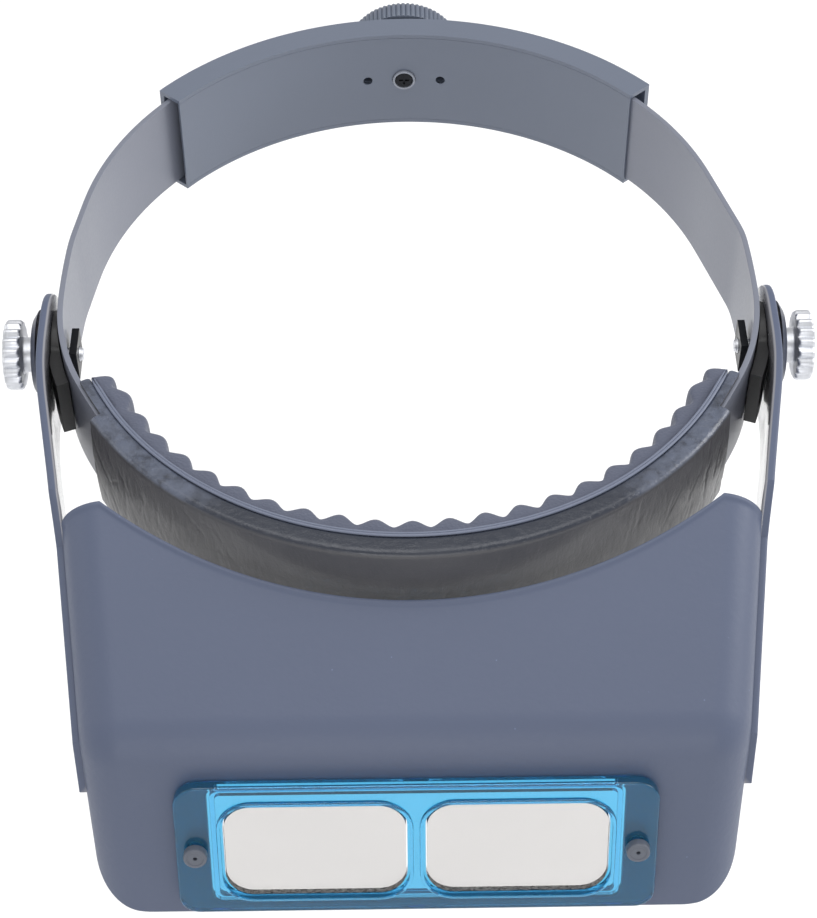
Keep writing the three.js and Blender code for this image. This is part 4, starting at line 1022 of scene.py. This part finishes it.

# ---- Snap rivets -------------------------------------------------------------------------------
# Two push-in rivets of grey nylon hold the plate on the hood: a low domed head with a small
# dimple in its middle, and a plain turned shank through both sheets.


def turned_points(profile, sides=48):
    """A profile of (radius, z) in millimetres, turned about Z: one ring of points for each corner."""
    profile = np.array(profile) * mm
    turn = np.linspace(0, 2 * math.pi, sides, endpoint=False)
    r = profile[:, 0, None]
    return np.stack(np.broadcast_arrays(r * np.cos(turn), r * np.sin(turn), profile[:, 1, None]), -1)


def turned_piece(name, profile, material, place, body, node):
    """A turned piece that stands for a CAD node. Its profile starts and ends on the axis."""
    points = turned_points(profile)
    rows, columns = points.shape[:2]
    faces = grid_faces(rows, columns, wrap_columns=True)
    made = new_piece(name, points, faces, material)
    tidy_mesh(made, 1e-7)
    made.data.transform(place)
    if place.determinant() < 0:
        made.data.flip_normals()
    made.data.set_sharp_from_angle(angle=math.radians(40))
    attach(made, body)
    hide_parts(node)
    return made


# Nylon of the rivets, darker than the plate's surroundings.
grey_nylon = moulded_plastic("grey_nylon", "#585d68", 0.42, 0.8, 0.2)
for side, sign in (("left", -1), ("right", 1)):
    place = panel_place @ Matrix.Translation((sign * rivet_spacing / 2, 0, 0))
    turned_piece(f"push_rivet_{side}", [
        (0, -3.9), (1.0, -3.9), (1.5, -3.1), (1.5, 4.0), (2.7, 4.0), (2.9, 4.2), (2.9, 5.9), (2.82, 6.15),
        (2.6, 6.3),
        (2.1, 6.3), (1.95, 6.15), (0.6, 6.15), (0.5, 6.05), (0.45, 5.2), (0, 5.2),
    ], grey_nylon, place, f"rivet_{side}", f"snap_rivet_{side}")

# ---- Rear housing ------------------------------------------------------------------------------
# Two curved covers in smooth grey ABS. The outer one is a channel with a top and a bottom wall and
# two screw posts, the inner one is a plain curved plate that closes it towards the head.
# ABS moulded smooth, without the hood's grain.
housing_grey = moulded_plastic("smooth_grey_abs", "#626a7a", 0.38, 0.9, 0.12, gloss=0.6, tone=0.04)
housing_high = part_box("housing_outer_cover")[1]
housing_outer = housing_high.y - temple.y
housing_half = housing_high.z
cover_inner_low, cover_inner_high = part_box("housing_inner_cover")
housing_inner = math.hypot(cover_inner_low.x, cover_inner_low.y - temple.y)
inner_wall = cover_inner_high.y - temple.y
housing_angle = math.radians(49)
cavity_half = 15.5 * mm
cavity_outer = housing_outer - 1.6 * mm
post_x = 11 * mm


def swept(name, section, material, steps=150):
    """Sweeps a closed section of (radius, z) about the centre of the back, over the housing's arc."""
    turn = np.linspace(math.pi / 2 - housing_angle, math.pi / 2 + housing_angle, steps)[:, None]
    r, z = np.array(section).T
    points = np.stack(np.broadcast_arrays(r * np.cos(turn), temple.y + r * np.sin(turn), z), -1)
    rows, columns = points.shape[:2]
    faces = tube_faces(rows, columns)
    made = new_piece(name, points, faces, material)
    tidy_mesh(made, 1e-8)
    return made


def along_y(x):
    """Turns a piece made along Z so that it points along +Y, at a given x."""
    return Matrix.Translation((x, 0, 0)) @ Matrix.Rotation(-math.pi / 2, 4, "X")


outer_cover = swept("housing_channel", [
    (housing_inner, housing_half), (housing_outer, housing_half), (housing_outer, -housing_half),
    (housing_inner, -housing_half), (housing_inner, -cavity_half), (cavity_outer, -cavity_half),
    (cavity_outer, cavity_half), (housing_inner, cavity_half),
], housing_grey)
post_from = temple.y + inner_wall + 0.2 * mm
posts = [prism(circle_outline(2.4 * mm), post_from, temple.y + cavity_outer + 0.5 * mm, along_y(x))
         for x in (-post_x, post_x)]
bores = [prism(circle_outline(1.4 * mm), post_from - 2 * mm, post_from + 4 * mm, along_y(x))
         for x in (-post_x, post_x)]
bearing = prism(circle_outline(4.75 * mm), temple.y + cavity_outer - 6 * mm,
                temple.y + housing_outer + 2 * mm, along_y(0))
cut(outer_cover, posts, "UNION")
cut(outer_cover, [*bores, bearing])
bevelled(outer_cover, 0.45 * mm, 3, 50)
inner_cover = swept("housing_plate", [
    (housing_inner, 15.42 * mm), (inner_wall, 15.42 * mm), (inner_wall, -15.42 * mm),
    (housing_inner, -15.42 * mm),
], housing_grey)
through = [prism(circle_outline(r), temple.y + housing_inner - 5 * mm, temple.y + inner_wall + 5 * mm,
                 along_y(x))
           for r, x in ((3.55 * mm, 0), (1.4 * mm, -post_x), (1.4 * mm, post_x))]
cut(inner_cover, through)
bevelled(inner_cover, 0.3 * mm, 2, 50)
for piece, node in ((outer_cover, "housing_outer_cover"), (inner_cover, "housing_inner_cover")):
    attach(piece, "housing")
    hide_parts(node)

# ---- Size knob and its screw -------------------------------------------------------------------
# A round knob with 72 fine ribs turns the pinion between the two racks. Its screw comes from
# inside the band: black oxide steel, with a cross recess, in a hub coloured pale grey as a painted
# highlight.
knob_low, knob_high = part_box("rear_knob")
knob_radius = knob_high.x
knob_ribs = 72
knob_rib_depth = 0.6  # mm


def ribbed_points(profile, ribs, depth, sharpness, sides):
    """A turned shape whose radius dips between ribs: at each angle the outline falls by depth times
    (1 - |cos|) to a power. Each profile corner is (radius, z, share of the ribs' depth)."""
    turn = np.linspace(0, 2 * math.pi, sides, endpoint=False)
    dip = depth * (1 - np.abs(np.cos(ribs * turn / 2)) ** sharpness)
    r, z, share = (np.array(v)[:, None] for v in zip(*profile))
    reach = r - dip[None, :] * share
    return np.stack(np.broadcast_arrays(reach * np.cos(turn), reach * np.sin(turn), z), -1) * mm


def ribbed_piece(name, profile, ribs, depth, sharpness, sides, material, place, body, node):
    """A ribbed or scalloped knob that stands for a CAD node, closed on its axis at both ends."""
    points = ribbed_points(profile, ribs, depth, sharpness, sides)
    rows, columns = points.shape[:2]
    made = new_piece(name, points, grid_faces(rows, columns, wrap_columns=True), material)
    tidy_mesh(made, 1e-7)
    made.data.transform(place)
    tidy_mesh(made, 1e-8)
    made.data.set_sharp_from_angle(angle=math.radians(38))
    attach(made, body)
    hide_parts(node)
    return made


r0 = knob_radius / mm
ribbed_piece("size_knob", [
    (0, 4.0, 0), (4.9, 4.0, 0), (4.9, 0.0, 0), (r0 - 1.2, 0.0, 0), (r0 - 0.3, 0.2, 0.6), (r0, 0.8, 1),
    (r0, 5.6, 1),
    (r0 - 0.3, 6.3, 1), (r0 - 1.1, 7.2, 0.6), (r0 - 2.0, 7.8, 0.1), (r0 - 2.8, 8.0, 0), (r0 - 5, 8.0, 0),
    (r0 - 5.4, 7.6, 0), (0, 7.6, 0),
], knob_ribs, knob_rib_depth, 0.8, 12 * knob_ribs, housing_grey,
    Matrix.Translation((0, knob_low.y, 0)) @ along_y(0), "knob", "rear_knob")


def softened(node, name, material, body, width=0.25, segments=2, angle=35):
    """A copy of a CAD node's solid with its edges rounded off, which stands for that node."""
    source = frame["nodes"][node]
    mesh = source.data.copy()
    mesh.transform(source.matrix_world)
    made = bpy.data.objects.new(name, mesh)
    bpy.context.scene.collection.objects.link(made)
    mesh.materials.clear()
    mesh.materials.append(material)
    tidy_mesh(made, 1e-6)
    flat = bmesh.new()
    flat.from_mesh(mesh)
    bmesh.ops.dissolve_limit(flat, angle_limit=math.radians(0.5), verts=flat.verts, edges=flat.edges)
    flat.to_mesh(mesh)
    flat.free()
    bevelled(made, width * mm, segments, angle)
    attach(made, body)
    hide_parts(node)
    return made


def metal(name, colour, roughness, brushed, scratch):
    """Bare or plated metal: a metallic base, fine turning marks and a broken, cloudy gloss."""
    made, tree, out = new_material(name)
    place = add(tree, "ShaderNodeTexCoord")
    stretch = add(tree, "ShaderNodeMapping", Vector=(place, "Object"), Scale=brushed)
    marks = add(tree, "ShaderNodeTexNoise", Vector=(stretch, "Vector"), Scale=1.0, Detail=4.0,
                Roughness=0.7)
    cloud = add(tree, "ShaderNodeTexNoise", Vector=(place, "Object"), Scale=200.0, Detail=3.0)
    base = linear(colour)
    tone = add(tree, "ShaderNodeMix", {"data_type": "RGBA"}, n0=(marks, "Fac"),
               n6=[c * 0.85 for c in base[:3]] + [1.0], n7=[min(1.0, c * 1.1) for c in base[:3]] + [1.0])
    rough = add(tree, "ShaderNodeMapRange", Value=(cloud, "Fac"), From_Min=0.3, From_Max=0.7,
                To_Min=roughness - 0.08, To_Max=roughness + 0.08)
    bump = add(tree, "ShaderNodeBump", Height=(marks, "Fac"), Strength=scratch, Distance=0.1 * mm)
    shader = add(tree, "ShaderNodeBsdfPrincipled", Base_Color=(tone, 2), Metallic=1.0,
                 Roughness=(rough, "Result"),
                 Normal=(bump, "Normal"))
    tree.links.new(shader.outputs["BSDF"], out.inputs["Surface"])
    return made


# Steel with a black oxide finish, then zinc-plated steel, then the pinion's nylon, coloured pale grey as a
# painted highlight.
black_oxide = metal("black_oxide_steel", "#2b2c2f", 0.34, (300.0, 300.0, 300.0), 0.2)
zinc_steel = metal("zinc_plated_steel", "#9c9fa3", 0.34, (400.0, 400.0, 400.0), 0.2)
# Painted highlight: the pinion is coloured pale grey to stand for the light ring round the screw.
pinion_highlight_nylon = moulded_plastic("nylon_painted_highlight", "#8b909b", 0.45, 0.8, 0.15)
softened("adjuster_pinion", "geared_hub", pinion_highlight_nylon, "knob", 0.2)
softened("knob_screw", "cross_head_screw", black_oxide, "knob", 0.08)
softened("knob_spring_washer", "spring_washer", zinc_steel, "knob", 0.1)

# ---- Tilt pivots -------------------------------------------------------------------------------
# On each side a black nylon block fills the wedge between the curved strap and the flat arm. A
# steel square nut sits inside the strap, and a rubber washer and a dished one under the knob.
# Glass-filled nylon, matt rubber, and grey paint on the dished washer.
black_nylon = moulded_plastic("black_glass_filled_nylon", "#17171a", 0.42, 0.7, 0.3)
black_rubber = moulded_plastic("black_rubber", "#101012", 0.75, 0.5, 0.3, gloss=0.3)
washer_grey = moulded_plastic("painted_dished_washer", "#3c4150", 0.4, 0.6, 0.15)
for side in ("right", "left"):
    softened(f"pivot_block_{side}", f"wedge_block_{side}", black_nylon, "band", 0.4, 3, 40)
    softened(f"square_nut_{side}", f"oxide_nut_{side}", black_oxide, "band", 0.4, 3, 40)
    softened(f"soft_washer_{side}", f"rubber_washer_{side}", black_rubber, "visor", 0.15)
    softened(f"cup_washer_{side}", f"dished_washer_{side}", washer_grey, f"clamp_{side}", 0.12,
             2, 25)

# ---- Thumbscrews -------------------------------------------------------------------------------
# Two thumbscrews turned from aluminium rod clamp the visor's tilt. Each has a round hub, a
# scalloped knob with eighteen lobes, a shallow dish in its face, and a threaded shank.
# Aluminium, with turning marks drawn out round the axis.
bright_aluminium = metal("turned_aluminium", "#d9dbe0", 0.4, (2500.0, 160.0, 160.0), 0.25)
screw_low, screw_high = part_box("thumbscrew_right")
thumb_lobes = 18
thumb_lobe_depth = 0.95  # mm
thumb_thickness = 4.6
hub_length = 2.9
thread_pitch = 0.8
thumb_face = screw_high.x / mm
thumb_base = thumb_face - thumb_thickness
hub_base = thumb_base - hub_length
shank_tip = screw_low.x / mm
thread_z = np.arange(shank_tip + 0.5, hub_base - 5, 0.1)
thread_r = 1.9 + 0.12 * np.sin(thread_z * 2 * math.pi / thread_pitch)
thumb_profile = [(0, shank_tip, 0), (1.5, shank_tip, 0)]
thumb_profile += [(r, z, 0) for r, z in zip(thread_r, thread_z)]
thumb_profile += [
    (2.0, hub_base - 4.9, 0), (2.0, hub_base, 0), (4.5, hub_base, 0), (4.75, hub_base + 0.25, 0),
    (4.75, thumb_base - 0.6, 0), (4.95, thumb_base - 0.3, 0), (5.2, thumb_base, 0), (8.6, thumb_base, 0.2),
    (9.0, thumb_base + 0.1, 0.6), (9.4, thumb_base + 0.5, 1), (9.5, thumb_base + 0.9, 1),
    (9.5, thumb_face - 1.0, 1),
    (9.4, thumb_face - 0.55, 1), (9.0, thumb_face - 0.15, 0.8), (8.4, thumb_face, 0.4),
    (7.4, thumb_face, 0),
    (6.4, thumb_face, 0), (6.1, thumb_face - 0.2, 0), (6.0, thumb_face - 0.6, 0), (0, thumb_face - 0.6, 0),
]
for side, sign in (("right", 1), ("left", -1)):
    place = Matrix.Rotation(sign * math.pi / 2, 4, "Y")
    ribbed_piece(f"scalloped_thumbscrew_{side}", thumb_profile, thumb_lobes, thumb_lobe_depth, 1.3,
                 20 * thumb_lobes, bright_aluminium, place,
                 f"screw_{side}", f"thumbscrew_{side}")
